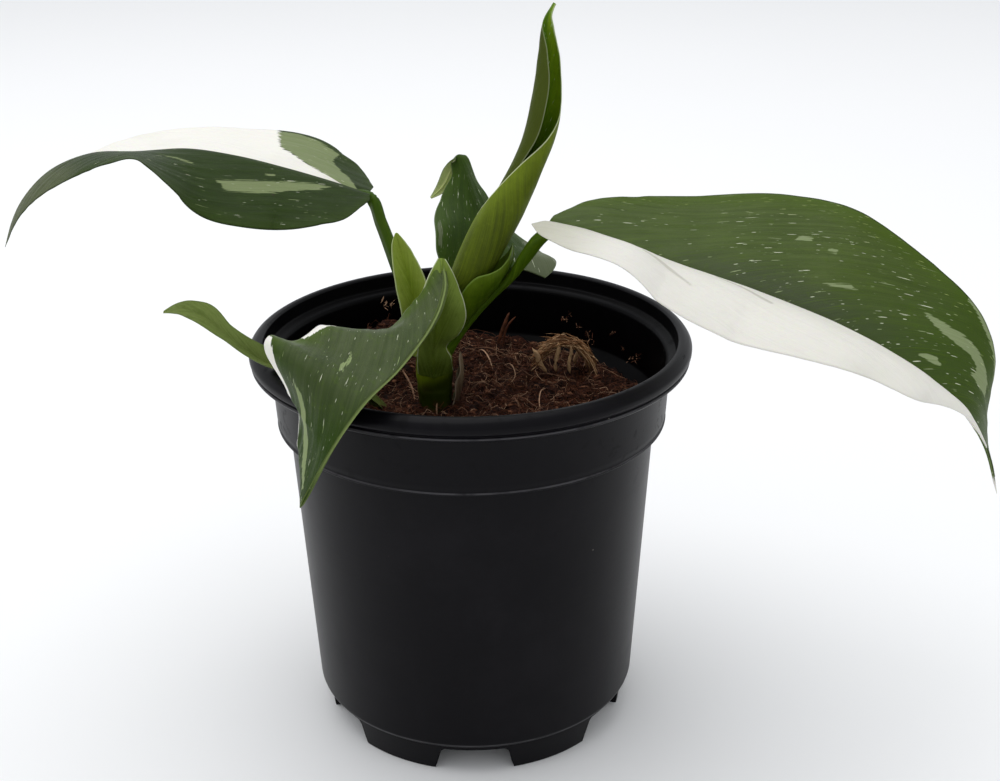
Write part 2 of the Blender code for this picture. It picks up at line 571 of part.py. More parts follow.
def make_leaf_small_left():
    """A slender young leaf low on the left, with its tip held out past the rim."""
    green = finish("leaf_small_green", (0.24, 0.30, 0.06), 0.45)
    blade = Blade([
        (-14.0, -6.5, 90.0, 2.0, 20, 30, 2.0, 20, 30),
        (-24.0, -14.0, 94.5, 2.6, 20, 30, 2.6, 20, 30),
        (-36.0, -20.0, 101.0, 3.2, 20, 30, 3.2, 20, 30),
        (-46.6, -24.0, 104.6, 3.6, 15, 30, 3.6, 15, 30),
        (-55.0, -26.0, 108.0, 3.8, 5, 20, 3.8, 5, 20),
        (-61.0, -25.0, 113.0, 3.8, 0, 10, 4.2, 0, 10),
        (-65.0, -24.5, 115.5, 2.6, 0, 0, 2.2, 0, 0),
        (-69.0, -24.0, 115.5, 0.4, 0, 0, 0.4, 0, 0),
    ], face=(0.1, -0.35, 0.9))
    sheet = blade_sheet("leaf_small_left", blade, green, rows=16, columns=4)
    route = [(-10, -3, 88), (-14, -6.5, 89.6), (-24, -14, 94)]
    foot = stalk("small_foot", route, [1.7, 1.4, 0.9], green, points=10)
    return join_leaf(sheet, [foot, rib("small_rib", blade, 0.9, 0.4, green, 0.1, 0.9)])


def make_cataphyll():
    """The pale scale leaf that stood round a bud, left of the middle."""
    green = finish("cataphyll_green", (0.28, 0.36, 0.12), 0.5)
    blade = Blade([
        (-15.0, -3.4, 96.8, 2.8, 10, 40, 2.0, 10, 40),
        (-14.4, -3.2, 102.0, 4.2, 20, 55, 4.0, 20, 55),
        (-13.2, -3.0, 108.0, 5.0, 20, 50, 5.0, 20, 50),
        (-14.4, -2.0, 115.0, 4.8, 20, 45, 4.8, 20, 45),
        (-16.0, -1.5, 121.5, 3.5, 20, 45, 3.5, 20, 45),
        (-17.2, -1.5, 127.4, 0.4, 10, 30, 0.4, 10, 30),
    ], face=(0.1, -1, 0.1))
    sheet = blade_sheet("cataphyll", blade, green, rows=12, columns=6)
    return join_leaf(sheet, [rib("cataphyll_rib", blade, 0.8, 0.4, green, 0.05, 0.8, points=10)])


def make_dry_sheath():
    """What is left of an old sheath: a papery strip that clasps the stem's right side and ends on the mix."""
    tan = finish("dry_sheath_tan", (0.22, 0.18, 0.10), 0.8)
    blade = Blade([
        (-4.3, -2.0, 83.0, 3.6, 0, 44, 3.6, 0, 44),
        (-3.4, -2.0, 87.0, 4.2, 0, 40, 4.2, 0, 40),
        (-2.6, -2.0, 92.0, 3.8, 0, 36, 3.8, 0, 36),
        (-2.9, -2.2, 95.2, 1.4, 0, 20, 1.4, 0, 20),
    ], face=(-1, 0, 0.1), ripple=0.3, waves=2.0)
    sheet = blade_sheet("dry_sheath", blade, tan, rows=8, columns=6, thickness=PAPER)
    boolean(sheet, [add_mesh("sheath_seat", stem_seat(), tan), add_mesh("sheath_bed", mix_shape(SEAT), tan)],
            "DIFFERENCE")
    return sheet


def make_husk():
    """A torn piece of coconut husk that lies on the mix: an arched mat of fibre with splinters in it."""
    tan = finish("coir_husk_tan", (0.22, 0.12, 0.06), 0.9)
    mat = Blade([
        (16.6, 18.5, 83.0, 2.2, 0, -20, 2.2, 0, -20),
        (18.6, 19.6, 88.6, 3.0, 0, -30, 3.0, 0, -30),
        (23.0, 20.6, 91.4, 3.4, 0, -30, 3.2, 0, -30),
        (28.0, 20.0, 89.6, 2.8, 0, -30, 3.0, 0, -30),
        (31.0, 18.8, 83.0, 1.2, 0, -20, 1.4, 0, -20),
    ], face=(0, 0.1, 1), ripple=0.5, waves=3.0)
    sheet = blade_sheet("coir_husk", mat, tan, rows=12, columns=4, thickness=HUSK)
    splinters = [
        ([(15.4, 17.0, 90.5), (17.2, 18.6, 87.5), (19.4, 17.6, 83.0)], [0.4, 0.9, 0.6]),
        ([(22.2, 18.2, 91.8), (22.0, 18.4, 87.5), (21.6, 17.6, 83.0)], [0.9, 0.9, 0.4]),
        ([(25.4, 18.6, 90.6), (25.0, 18.2, 87.0), (25.2, 17.2, 83.0)], [0.9, 0.7, 0.4]),
        ([(28.0, 21.4, 89.5), (27.4, 22.6, 86.0), (26.8, 23.2, 83.0)], [0.9, 0.7, 0.5]),
    ]
    boolean(sheet, [stalk("splinter_%d" % count, route, sizes, tan, points=8)
                    for count, (route, sizes) in enumerate(splinters)], "UNION")
    boolean(sheet, [add_mesh("husk_bed", mix_shape(SEAT), tan)], "DIFFERENCE")
    return sheet


clear_scene()
make_pot()
make_mix()
make_stem()
make_leaf_left()
make_leaf_right()
make_leaf_upright()
make_leaf_back()
make_leaf_front()
make_leaf_small_left()
make_cataphyll()
make_dry_sheath()
make_husk()
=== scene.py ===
"""A potted white wizard philodendron in a black nursery pot, dressed over its CAD frame.

Metres, +Z up, the origin at the middle of the pot's foot. The camera stands at -Y, as in the photograph.
"""

import math
import random

import bmesh
import bpy
import numpy as np
from mathutils import Matrix, Vector, noise


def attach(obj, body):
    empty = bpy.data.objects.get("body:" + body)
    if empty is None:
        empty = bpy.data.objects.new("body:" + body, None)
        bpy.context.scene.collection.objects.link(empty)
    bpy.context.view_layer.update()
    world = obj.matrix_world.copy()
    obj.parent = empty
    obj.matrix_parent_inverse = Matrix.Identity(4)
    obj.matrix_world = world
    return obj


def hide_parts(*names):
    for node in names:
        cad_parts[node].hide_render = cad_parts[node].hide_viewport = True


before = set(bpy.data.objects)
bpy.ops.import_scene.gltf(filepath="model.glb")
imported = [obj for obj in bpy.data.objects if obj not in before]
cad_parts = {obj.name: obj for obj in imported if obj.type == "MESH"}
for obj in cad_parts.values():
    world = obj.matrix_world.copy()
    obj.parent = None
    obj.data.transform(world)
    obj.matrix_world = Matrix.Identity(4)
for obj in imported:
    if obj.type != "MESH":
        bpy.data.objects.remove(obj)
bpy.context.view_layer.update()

# The pot. One moulding of thin black polypropylene with a rolled lip, a stacking shoulder and a foot ring.
# The mould leaves a semi-matt skin, fine lines round the body and six drainage notches in the foot.
MM = 0.001
POT_HEIGHT = 101.5
RIM_RADIUS = 54.0
RIM_BORE = 50.5
LIP_DEPTH = 5.5
POT_WALL = 1.3
SHOULDER_TOP_RADIUS = 48.9
SHOULDER_RADIUS = 48.2
SHOULDER_HEIGHT = 80.5
BODY_TOP_RADIUS = 45.3
BODY_FOOT_RADIUS = 41.2
FOOT_HEIGHT = 8.4
FOOT_RADIUS = 39.4
FOOT_BOTTOM_RADIUS = 38.4
FOOT_WALL = 2.4
FLOOR_TOP = 9.0
HUB_RADIUS = 10.0
NOTCHES = 6
NOTCH_HEIGHT = 6.6
NOTCH_HALF_ANGLE = 14.0
NOTCH_ROUNDING = 1.3
DRAIN_CIRCLE = 25.0
DRAIN_RADIUS = 4.5
CORNER_ROUNDING = 0.45
POT_STEPS = 216


class Term:
    """One output of a material's nodes. Arithmetic on it adds Math nodes."""

    def __init__(self, tree, socket):
        self.tree = tree
        self.socket = socket

    def maths(self, operation, *others):
        node = self.tree.nodes.new("ShaderNodeMath")
        node.operation = operation
        for slot, value in zip(node.inputs, (self, *others)):
            feed(slot, value)
        return Term(self.tree, node.outputs[0])

    def __add__(self, other):
        return self.maths("ADD", other)

    def __sub__(self, other):
        return self.maths("SUBTRACT", other)

    def __mul__(self, other):
        return self.maths("MULTIPLY", other)

    def __truediv__(self, other):
        return self.maths("DIVIDE", other)

    def __rsub__(self, other):
        return self.maths("MULTIPLY", -1.0).maths("ADD", other)

    __radd__ = __add__
    __rmul__ = __mul__

    def smooth(self, low, high):
        """0 below low, 1 above high, and a soft step between. low may lie above high."""
        node = self.tree.nodes.new("ShaderNodeMapRange")
        node.interpolation_type = "SMOOTHSTEP"
        feed(node.inputs["Value"], self)
        feed(node.inputs["From Min"], low)
        feed(node.inputs["From Max"], high)
        return Term(self.tree, node.outputs["Result"])


def feed(socket, value):
    """Put a number, a colour or another node's output into a socket."""
    if isinstance(value, Term):
        value.tree.links.new(value.socket, socket)
    elif isinstance(value, tuple) and len(value) == 3 and socket.type == "RGBA":
        socket.default_value = (*value, 1.0)
    else:
        socket.default_value = value


class Finish:
    """A Principled material, put together from the patterns that the real surface has."""

    def __init__(self, name, roughness, specular, soft=0.0):
        self.material = bpy.data.materials.new(name)
        self.material.use_nodes = True
        self.tree = self.material.node_tree
        self.shader = self.tree.nodes["Principled BSDF"]
        for slot, value in (("Roughness", roughness), ("Specular IOR Level", specular), ("Subsurface Weight", soft),
                            ("Subsurface Radius", (0.6, 1.0, 0.3)), ("Subsurface Scale", 0.8 * MM)):
            self.shader.inputs[slot].default_value = value

    def add(self, kind, output, **inputs):
        node = self.tree.nodes.new("ShaderNode" + kind)
        for name, value in inputs.items():
            feed(node.inputs[name.replace("_", " ")], value)
        return Term(self.tree, node.outputs[output])

    def place(self):
        return self.add("TexCoord", "Object")

    def parts(self, vector):
        """The three numbers of a vector."""
        split = self.add("SeparateXYZ", 0, Vector=vector)
        return [Term(self.tree, output) for output in split.socket.node.outputs]

    def attribute(self, name):
        found = self.add("Attribute", "Vector")
        found.socket.node.attribute_name = name
        return self.parts(found)

    def vector(self, x, y, z=0.0):
        return self.add("CombineXYZ", 0, X=x, Y=y, Z=z)

    def noise(self, vector, scale, detail=2.0, roughness=0.5, distortion=0.0):
        return self.add("TexNoise", 0, Vector=vector, Scale=scale, Detail=detail, Roughness=roughness,
                        Distortion=distortion)

    def cells(self, vector, scale):
        """Distance to the nearest cell's middle, and three numbers drawn for that cell."""
        far = self.add("TexVoronoi", "Distance", Vector=vector, Scale=scale)
        return [far] + self.parts(Term(self.tree, far.socket.node.outputs["Color"]))

    def mix(self, factor, low, high):
        node = self.tree.nodes.new("ShaderNodeMix")
        node.data_type = "RGBA"
        feed(node.inputs[0], factor)
        feed(node.inputs[6], low)
        feed(node.inputs[7], high)
        return Term(self.tree, node.outputs[2])

    def over(self, share, colour):
        """Lay another colour over the skin's colour so far, in the given share."""
        self.colour = self.mix(share, self.colour, colour)

    def done(self, roughness=None, height=None, depth=1.0):
        """Wire the colour, the roughness and a relief whose height is in millimetres."""
        feed(self.shader.inputs["Base Color"], self.colour)
        if roughness is not None:
            feed(self.shader.inputs["Roughness"], roughness)
        if height is not None:
            bump = self.add("Bump", "Normal", Height=height, Strength=depth, Distance=MM)
            feed(self.shader.inputs["Normal"], bump)
        return self.material


def rounded(outline, radius):
    """The outline with each inner corner cut to a short curve."""
    made = [outline[0]]
    for before, corner, after in zip(outline, outline[1:], outline[2:]):
        before, corner, after = Vector(before), Vector(corner), Vector(after)
        reach = min(radius, 0.4 * (corner - before).length, 0.4 * (after - corner).length)
        start = corner + (before - corner).normalized() * reach
        end = corner + (after - corner).normalized() * reach
        for part in (0.0, 0.33, 0.67, 1.0):
            made.append(tuple((1 - part) ** 2 * start + 2 * part * (1 - part) * corner + part**2 * end))
    return made + [outline[-1]]


def turned(outline, steps, centre=(0.0, 0.0)):
    """Spin an outline of (radius, height) in millimetres that starts and ends on the axis."""
    shape = bmesh.new()
    points = [shape.verts.new((radius * MM, 0.0, height * MM)) for radius, height in outline]
    edges = [shape.edges.new(pair) for pair in zip(points, points[1:])]
    bmesh.ops.spin(shape, geom=points + edges, cent=(0, 0, 0), axis=(0, 0, 1), angle=math.tau,
                   steps=steps, use_merge=True)
    bmesh.ops.remove_doubles(shape, verts=shape.verts, dist=1e-6)
    bmesh.ops.translate(shape, verts=shape.verts, vec=(centre[0] * MM, centre[1] * MM, 0.0))
    bmesh.ops.recalc_face_normals(shape, faces=shape.faces)
    return shape


def new_piece(name, shape, materials, sharp=180.0):
    """A smooth object of a bmesh."""
    mesh = bpy.data.meshes.new(name)
    shape.to_mesh(mesh)
    shape.free()
    mesh.shade_smooth()
    if sharp < 180.0:
        mesh.set_sharp_from_angle(angle=math.radians(sharp))
    piece = bpy.data.objects.new(name, mesh)
    for material in materials:
        mesh.materials.append(material)
    bpy.context.collection.objects.link(piece)
    return piece


def settle(piece, helpers=()):
    """Apply a piece's modifiers and take away the objects that shaped it."""
    graph = bpy.context.evaluated_depsgraph_get()
    made = bpy.data.meshes.new_from_object(piece.evaluated_get(graph))
    piece.modifiers.clear()
    piece.data = made
    for helper in helpers:
        bpy.data.objects.remove(helper, do_unlink=True)


def fit(piece, node):
    """The piece stands for its CAD node."""
    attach(piece, "root")
    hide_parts(node)


def pot_outline():
    """The pot's section, from the middle under its floor up the outside and down the inside."""
    lip = POT_HEIGHT - LIP_DEPTH
    outside = [
        (HUB_RADIUS, 0.0),
        (HUB_RADIUS + 1.5, FOOT_HEIGHT - POT_WALL),
        (FOOT_RADIUS - FOOT_WALL, FOOT_HEIGHT - POT_WALL),
        (FOOT_BOTTOM_RADIUS - FOOT_WALL + 0.6, 0.0),
        (FOOT_BOTTOM_RADIUS, 0.0),
        (FOOT_RADIUS, FOOT_HEIGHT - 0.5),
        (BODY_FOOT_RADIUS - 0.5, FOOT_HEIGHT),
        (BODY_FOOT_RADIUS, FOOT_HEIGHT + 1.0),
        (BODY_TOP_RADIUS, SHOULDER_HEIGHT - 0.5),
        (BODY_TOP_RADIUS + 0.2, SHOULDER_HEIGHT),
        (SHOULDER_RADIUS - 0.9, SHOULDER_HEIGHT + 0.1),
        (SHOULDER_RADIUS - 0.1, SHOULDER_HEIGHT + 0.3),
        (SHOULDER_RADIUS, SHOULDER_HEIGHT + 0.7),
        (SHOULDER_RADIUS - 0.35, SHOULDER_HEIGHT + 0.95),
        (SHOULDER_RADIUS, SHOULDER_HEIGHT + 2.4),
        (SHOULDER_TOP_RADIUS, lip - 0.4),
        (SHOULDER_TOP_RADIUS + 1.2, lip),
        (RIM_RADIUS - 1.0, lip + 0.1),
        (RIM_RADIUS - 0.3, lip + 0.9),
        (RIM_RADIUS - 1.1, lip + 1.4),
        (RIM_RADIUS - 0.1, lip + 2.2),
        (RIM_RADIUS, lip + 3.6),
        (RIM_RADIUS - 0.8, lip + 4.8),
        (RIM_RADIUS - 2.0, POT_HEIGHT),
        (RIM_BORE + 0.5, POT_HEIGHT),
        (RIM_BORE, POT_HEIGHT - 0.4),
    ]
    inside = [
        (RIM_BORE - 0.3, POT_HEIGHT - 3.8),
        (SHOULDER_TOP_RADIUS - 0.4, POT_HEIGHT - 4.3),
        (SHOULDER_TOP_RADIUS - POT_WALL, POT_HEIGHT - 5.2),
        (SHOULDER_RADIUS - POT_WALL, SHOULDER_HEIGHT + 3.4),
        (BODY_TOP_RADIUS - POT_WALL, SHOULDER_HEIGHT + 0.6),
        (BODY_FOOT_RADIUS - POT_WALL, FOOT_HEIGHT + 2.0),
        (BODY_FOOT_RADIUS - 2.4, FLOOR_TOP),
        (HUB_RADIUS + 0.2, FLOOR_TOP),
        (HUB_RADIUS - POT_WALL, POT_WALL),
    ]
    return rounded([(0.0, 0.0)] + outside + inside + [(0.0, POT_WALL)], CORNER_ROUNDING)


def notch_cutter(angle):
    """A block with sloped sides and rounded corners."""
    shape = bmesh.new()
    bmesh.ops.create_cube(shape, size=1.0)
    reach = FOOT_RADIUS + 3.0
    half = reach * math.tan(math.radians(NOTCH_HALF_ANGLE))
    for corner in shape.verts:
        side = 1.0 if corner.co.x > 0 else -1.0
        top = corner.co.z > 0
        outer = corner.co.y < 0
        corner.co.x = side * half * (0.86 if top else 1.08) * (1.0 if outer else 0.78) * MM
        corner.co.y = (-reach if outer else -(FOOT_RADIUS - 7.0)) * MM
        corner.co.z = (NOTCH_HEIGHT if top else -1.0) * MM
    top_edges = [edge for edge in shape.edges if min(corner.co.z for corner in edge.verts) > 0.0]
    bmesh.ops.bevel(shape, geom=top_edges, offset=NOTCH_ROUNDING * MM, segments=4, profile=0.5, affect="EDGES",
                    material=-1)
    bmesh.ops.rotate(shape, verts=shape.verts, cent=(0, 0, 0), matrix=Matrix.Rotation(angle, 3, "Z"))
    bmesh.ops.recalc_face_normals(shape, faces=shape.faces)
    return shape


def drain_cutter(angle):
    shape = bmesh.new()
    middle = (DRAIN_CIRCLE * MM * math.sin(angle), DRAIN_CIRCLE * MM * math.cos(angle), FOOT_HEIGHT * MM)
    bmesh.ops.create_cone(shape, cap_ends=True, segments=32, radius1=DRAIN_RADIUS * MM, radius2=DRAIN_RADIUS * MM,
                          depth=8.0 * MM, matrix=Matrix.Translation(middle))
    return shape


def pot_finish(name, dark, dusty, scuff_and_glint, specular):
    """Black plastic: a dusty film, dried water marks, specks, faint lines round the body and pale lines on the
    ledges, partly scuffs and partly painted highlight.
    """
    paint = Finish(name, roughness=0.38, specular=specular)
    place = paint.place()
    x, y, z = paint.parts(place)
    film = paint.noise(place, 30.0, 6.0, 0.65).smooth(0.45, 0.8)
    marks = paint.noise(place, 210.0, 4.0, 0.6, 0.8).smooth(0.60, 0.66) * z.smooth(0.06, 0.09)
    runs = paint.noise(paint.vector(x * 160.0, y * 160.0, z * 14.0), 1.0, 3.0).smooth(0.55, 0.85)
    grain = paint.noise(place, 2600.0, 2.0)
    rings = paint.noise(paint.vector(0.0, 0.0, z * 700.0), 1.0, 2.0)
    far, pick, size, _ = paint.cells(place, 420.0)
    speck = far.smooth(0.05 + 0.07 * size, 0.02) * pick.smooth(0.975, 0.98)
    paint.colour = paint.mix(film * 0.5 + runs * 0.15, dark, dusty)
    paint.over(marks * 0.6, (0.0012, 0.0010, 0.0016))
    paint.over(speck, (0.22, 0.20, 0.18))
    # Thin pale lines on the ledges, broken up at random: partly scuffs, partly the painted highlight that the
    # ledges' edges catch.
    scuff_glint_breaks = paint.noise(place, 180.0, 3.0).smooth(0.15, 0.6)
    for ledge in (SHOULDER_HEIGHT + 0.82, FOOT_HEIGHT + 0.7, POT_HEIGHT - LIP_DEPTH + 1.0):
        line = (z - ledge * MM).maths("ABSOLUTE").smooth(0.00022, 0.00008)
        paint.over(line * scuff_glint_breaks, scuff_and_glint)
    roughness = 0.34 + film * 0.10 + marks * 0.12 + grain * 0.06
    height = grain * 0.02 + rings * 0.02 + paint.noise(place, 45.0, 2.0) * 0.2 + speck * 0.05
    return paint.done(roughness, height, 0.6)


black = pot_finish("pot_black", (0.0020, 0.0017, 0.0028), (0.0085, 0.0078, 0.0098), (0.070, 0.068, 0.073), 0.1)
# The same black plastic, darker and less shiny: painted shade for the inside of the pot.
shaded = pot_finish("pot_black_painted_shade", (0.0006, 0.0005, 0.0008), (0.0022, 0.0020, 0.0026), (0.004, 0.004, 0.005),
                    0.05)
pot = new_piece("pot_moulding", turned(pot_outline(), POT_STEPS), [black, shaded])
cutters = []
for turn in range(NOTCHES):
    cutters.append(new_piece("notch_cutter_%d" % turn, notch_cutter(math.tau * turn / NOTCHES), [black]))
    cutters.append(new_piece("drain_cutter_%d" % turn, drain_cutter(math.tau * (turn + 0.5) / NOTCHES), [black]))
cutter_group = bpy.data.collections.new("pot_cutters")
for cutter in cutters:
    cutter_group.objects.link(cutter)
cut = pot.modifiers.new("cut", "BOOLEAN")
cut.operand_type = "COLLECTION"
cut.collection = cutter_group
cut.operation = "DIFFERENCE"
cut.solver = "EXACT"
settle(pot, cutters)
bpy.data.collections.remove(cutter_group)
pot.data.shade_smooth()
pot.data.set_sharp_from_angle(angle=math.radians(38))
# Inward faces below the rim take the darker copy, which is painted shade inside the pot.
for side in pot.data.polygons:
    inward = side.center.xy.dot(side.normal.xy) < 0.0
    side.material_index = 1 if inward and FLOOR_TOP * MM < side.center.z < (POT_HEIGHT - 0.9) * MM else 0
fit(pot, "pot")


# The potting mix. Loose coir: a damp red-brown mass of crumbs with torn fibres lying in and on it.
# It was poured in round the plant and pressed down by hand, so it stands higher at the back left.
MIX_LEVEL = 83.5
MIX_MOUND = 7.0
CLEARANCE = 0.3
STEM_X = -9.0
STEM_Y = -2.0
STEM_RADIUS = 4.1
HOLLOW_Y = -7.5
CRUMBS = 9200
CRUMB_REACH = 43.0
FIBRES = 4300
FIBRE_REACH = 41.0
FIBRE_LIMIT = 42.5
FIBRE_LIFT = 2.4
# How near the stem's axis a crumb or fibre may start, and how near it a fibre may pass.
START_CLEAR = 5.2
PASS_CLEAR = 4.8
TUFT_REACH = 43.6
draw = random.Random(7)


def mix_height(x, y):
    """The top of the mix in millimetres, as in the CAD model, without its fine crumb."""
    mound = MIX_MOUND * math.exp(-((x + 24) ** 2 + (y - 36) ** 2) / 520.0)
    slope = -0.030 * x - 0.012 * y
    lumps = 0.55 * math.sin(0.31 * x + 1.3) * math.sin(0.27 * y - 0.6) + 0.35 * math.sin(0.62 * x - 0.43 * y)
    crumbs = 0.30 * math.sin(1.37 * x + 0.9 * y) * math.sin(1.13 * y - 0.51 * x + 2.0)
    level = 1.0 - math.exp(-((x - STEM_X) ** 2 + (y - STEM_Y) ** 2) / 60.0)
    return MIX_LEVEL + mound + slope + (lumps + crumbs) * level


def mix_surface(x, y):
    """The top with its crumb, small pits and a hollow in front of the stem."""
    rough = noise.fractal(Vector((x * 0.33, y * 0.33, 3.0)), 0.9, 2.1, 5)
    pits = noise.noise(Vector((x * 0.16, y * 0.16, 11.0)))
    hollow = 1.6 * math.exp(-((x - STEM_X) ** 2 + (y - HOLLOW_Y) ** 2) / 14.0)
    return mix_height(x, y) + 1.1 * rough - 1.6 * max(0.0, pits - 0.15) - hollow


def wall_radius(height):
    """The mix's radius inside the pot's wall."""
    part = (height - FOOT_HEIGHT) / (SHOULDER_HEIGHT - FOOT_HEIGHT)
    return BODY_FOOT_RADIUS + part * (BODY_TOP_RADIUS - BODY_FOOT_RADIUS) - POT_WALL - CLEARANCE


def mix_shape():
    low = FLOOR_TOP + CLEARANCE
    hub = POT_WALL + CLEARANCE
    edge = wall_radius(SHOULDER_HEIGHT - 0.5)
    foot = wall_radius(FOOT_HEIGHT + 3.0)
    rings = [(edge * (1.0 - ring / 110), MIX_LEVEL) for ring in range(1, 110)]
    outline = [(0.0, hub), (HUB_RADIUS - hub, hub), (HUB_RADIUS - 0.1, low), (foot - 3.0, low),
               (foot, FOOT_HEIGHT + 3.0), (edge, SHOULDER_HEIGHT - 0.5), (edge, MIX_LEVEL - 1.0)]
    shape = turned(outline + rings + [(0.0, MIX_LEVEL)], 200)
    for point in shape.verts:
        if point.co.z > (MIX_LEVEL - 1.5) * MM:
            point.co.z = mix_surface(point.co.x / MM, point.co.y / MM) * MM
    return shape


def coir_finish(name, dark, bright, straw, rough=0.9):
    """Coir in the tone that each crumb or fibre was given, mottled and with a fine fibrous relief."""
    paint = Finish(name, roughness=rough, specular=0.12)
    place = paint.place()
    tone = paint.attribute("tone")[0]
    mottle = paint.noise(place, 420.0, 4.0, 0.65)
    fine = paint.noise(place, 2400.0, 2.0)
    paint.colour = paint.mix(mottle.smooth(0.3, 0.7), dark, bright)
    paint.over(tone.smooth(0.55, 1.0), straw)
    paint.over(fine.smooth(0.45, 0.75) * 0.45, dark)
    return paint.done(rough - 0.15 * mottle, fine * 0.12 + mottle * 0.35, 0.8)


def gathered(count, make):
    """Many small things in one bmesh, made in batches, each with its tone on its points."""
    batch = 60
    whole = bmesh.new()
    for first in range(0, count, batch):
        part = bmesh.new()
        layer = part.verts.layers.float_vector.new("tone")
        for number in range(first, min(count, first + batch)):
            make(part, layer, number)
        mesh = bpy.data.meshes.new("batch")
        part.to_mesh(mesh)
        part.free()
        whole.from_mesh(mesh)
        bpy.data.meshes.remove(mesh)
    return whole


def spot_in_pot(reach):
    """A random place on the mix, off the stem."""
    while True:
        radius = reach * math.sqrt(draw.random())
        angle = draw.uniform(0.0, math.tau)
        x, y = radius * math.cos(angle), radius * math.sin(angle)
        if math.hypot(x - STEM_X, y - STEM_Y) > START_CLEAR:
            return x, y


def crumb(shape, layer, number):
    """One lumpy crumb lying on the mix."""
    x, y = spot_in_pot(CRUMB_REACH)
    size = 0.19 + 0.42 * draw.random() ** 3.0
    stretch = (draw.uniform(0.9, 2.6), draw.uniform(0.5, 1.1), draw.uniform(0.35, 0.7))
    turn = Matrix.Rotation(draw.uniform(0, math.tau), 4, "Z") @ Matrix.Rotation(draw.uniform(-0.7, 0.7), 4, "X")
    spot = Matrix.Translation(Vector((x, y, mix_surface(x, y) + 0.25 * size)) * MM)
    place = spot @ turn @ Matrix.Diagonal([side * size * MM for side in stretch] + [1.0])
    tone = draw.random() ** 1.6
    offset = Vector((draw.uniform(0, 9), draw.uniform(0, 9), 7.0))
    for point in bmesh.ops.create_icosphere(shape, subdivisions=1, radius=1.0)["verts"]:
        point.co = place @ (point.co * (1.0 + 0.45 * noise.noise(point.co * 2.3 + offset)))
        point[layer] = Vector((tone, 0.0, 0.0))


def strand(shape, layer, route, thick, tone, sides=3):
    """A tapered fibre on a list of points, closed at both ends."""
    count = len(route)
    made = bmesh.ops.create_grid(shape, x_segments=count - 1, y_segments=sides, size=1.0)["verts"]
    neighbours = zip(route[:1] + route[:-1], route[1:] + route[-1:])
    onward = [(after - before).normalized() for before, after in neighbours]
    for point in made:
        step = round((point.co.x + 1.0) / 2.0 * (count - 1))
        around = (point.co.y + 1.0) / 2.0 * math.tau
        aside = onward[step].cross(Vector((0.13, 0.21, 0.97))).normalized()
        over = aside.cross(onward[step])
        part = step / (count - 1)
        size = thick * (0.0 if step in (0, count - 1) else 1.0 - 0.55 * abs(2.0 * part - 1.0) ** 2)
        point.co = (route[step] + (aside * math.cos(around) + over * math.sin(around)) * size) * MM
        point[layer] = Vector((tone, 0.0, 0.0))


def lying_route(length):
    """A fibre that wanders over the mix, with its middle or an end standing up."""
    steps = 7
    x, y = spot_in_pot(FIBRE_REACH)
    heading = draw.uniform(0.0, math.tau)
    bend = draw.gauss(0.0, 0.35)
    rise = FIBRE_LIFT * draw.random() ** 2
    top = draw.choice((0.35, 0.6, 1.0))
    route = []
    for step in range(steps):
        part = step / (steps - 1)
        hump = rise * max(0.0, 1.0 - abs(part - top) / 0.6)
        route.append(Vector((x, y, max(mix_surface(x, y), mix_height(x, y) - 0.4) + 0.05 + hump)))
        heading += bend * draw.uniform(0.3, 1.6)
        x += math.cos(heading) * length / (steps - 1)
        y += math.sin(heading) * length / (steps - 1)
        if math.hypot(x, y) > FIBRE_LIMIT or math.hypot(x - STEM_X, y - STEM_Y) < PASS_CLEAR:
            heading += 1.9
            back = min(1.0, FIBRE_LIMIT / max(math.hypot(x, y), 1.0))
            x, y = back * x, back * y
    return route


def fibre(shape, layer, number):
    """A short fibre, or each ninth time a long one."""
    length = draw.uniform(8.0, 15.0) if number % 9 == 0 else draw.uniform(1.6, 6.5)
    strand(shape, layer, lying_route(length), draw.uniform(0.04, 0.10), draw.random() ** 2.2)


def smooth_line(knots, values, at):
    """A smooth curve through values at the knots, read at the given places."""
    knots = np.asarray(knots, float)
    values = np.asarray(values, float)
    step = np.diff(knots)[:, None]
    chord = np.diff(values, axis=0) / step
    slope = np.zeros_like(values)
    slope[1:-1] = (chord[:-1] * step[1:] + chord[1:] * step[:-1]) / (step[1:] + step[:-1])
    slope[0] = 1.5 * chord[0] - 0.5 * slope[1]
    slope[-1] = 1.5 * chord[-1] - 0.5 * slope[-2]
    at = np.atleast_1d(np.asarray(at, float))
    low = np.clip(np.searchsorted(knots, at, side="right") - 1, 0, len(knots) - 2)
    gap = step[low]
    t = (at - knots[low])[:, None] / gap
    return ((2 * t**3 - 3 * t**2 + 1) * values[low] + (t**3 - 2 * t**2 + t) * gap * slope[low]
            + (3 * t**2 - 2 * t**3) * values[low + 1] + (t**3 - t**2) * gap * slope[low + 1])


def unit(rows):
    return rows / np.linalg.norm(rows, axis=-1, keepdims=True)


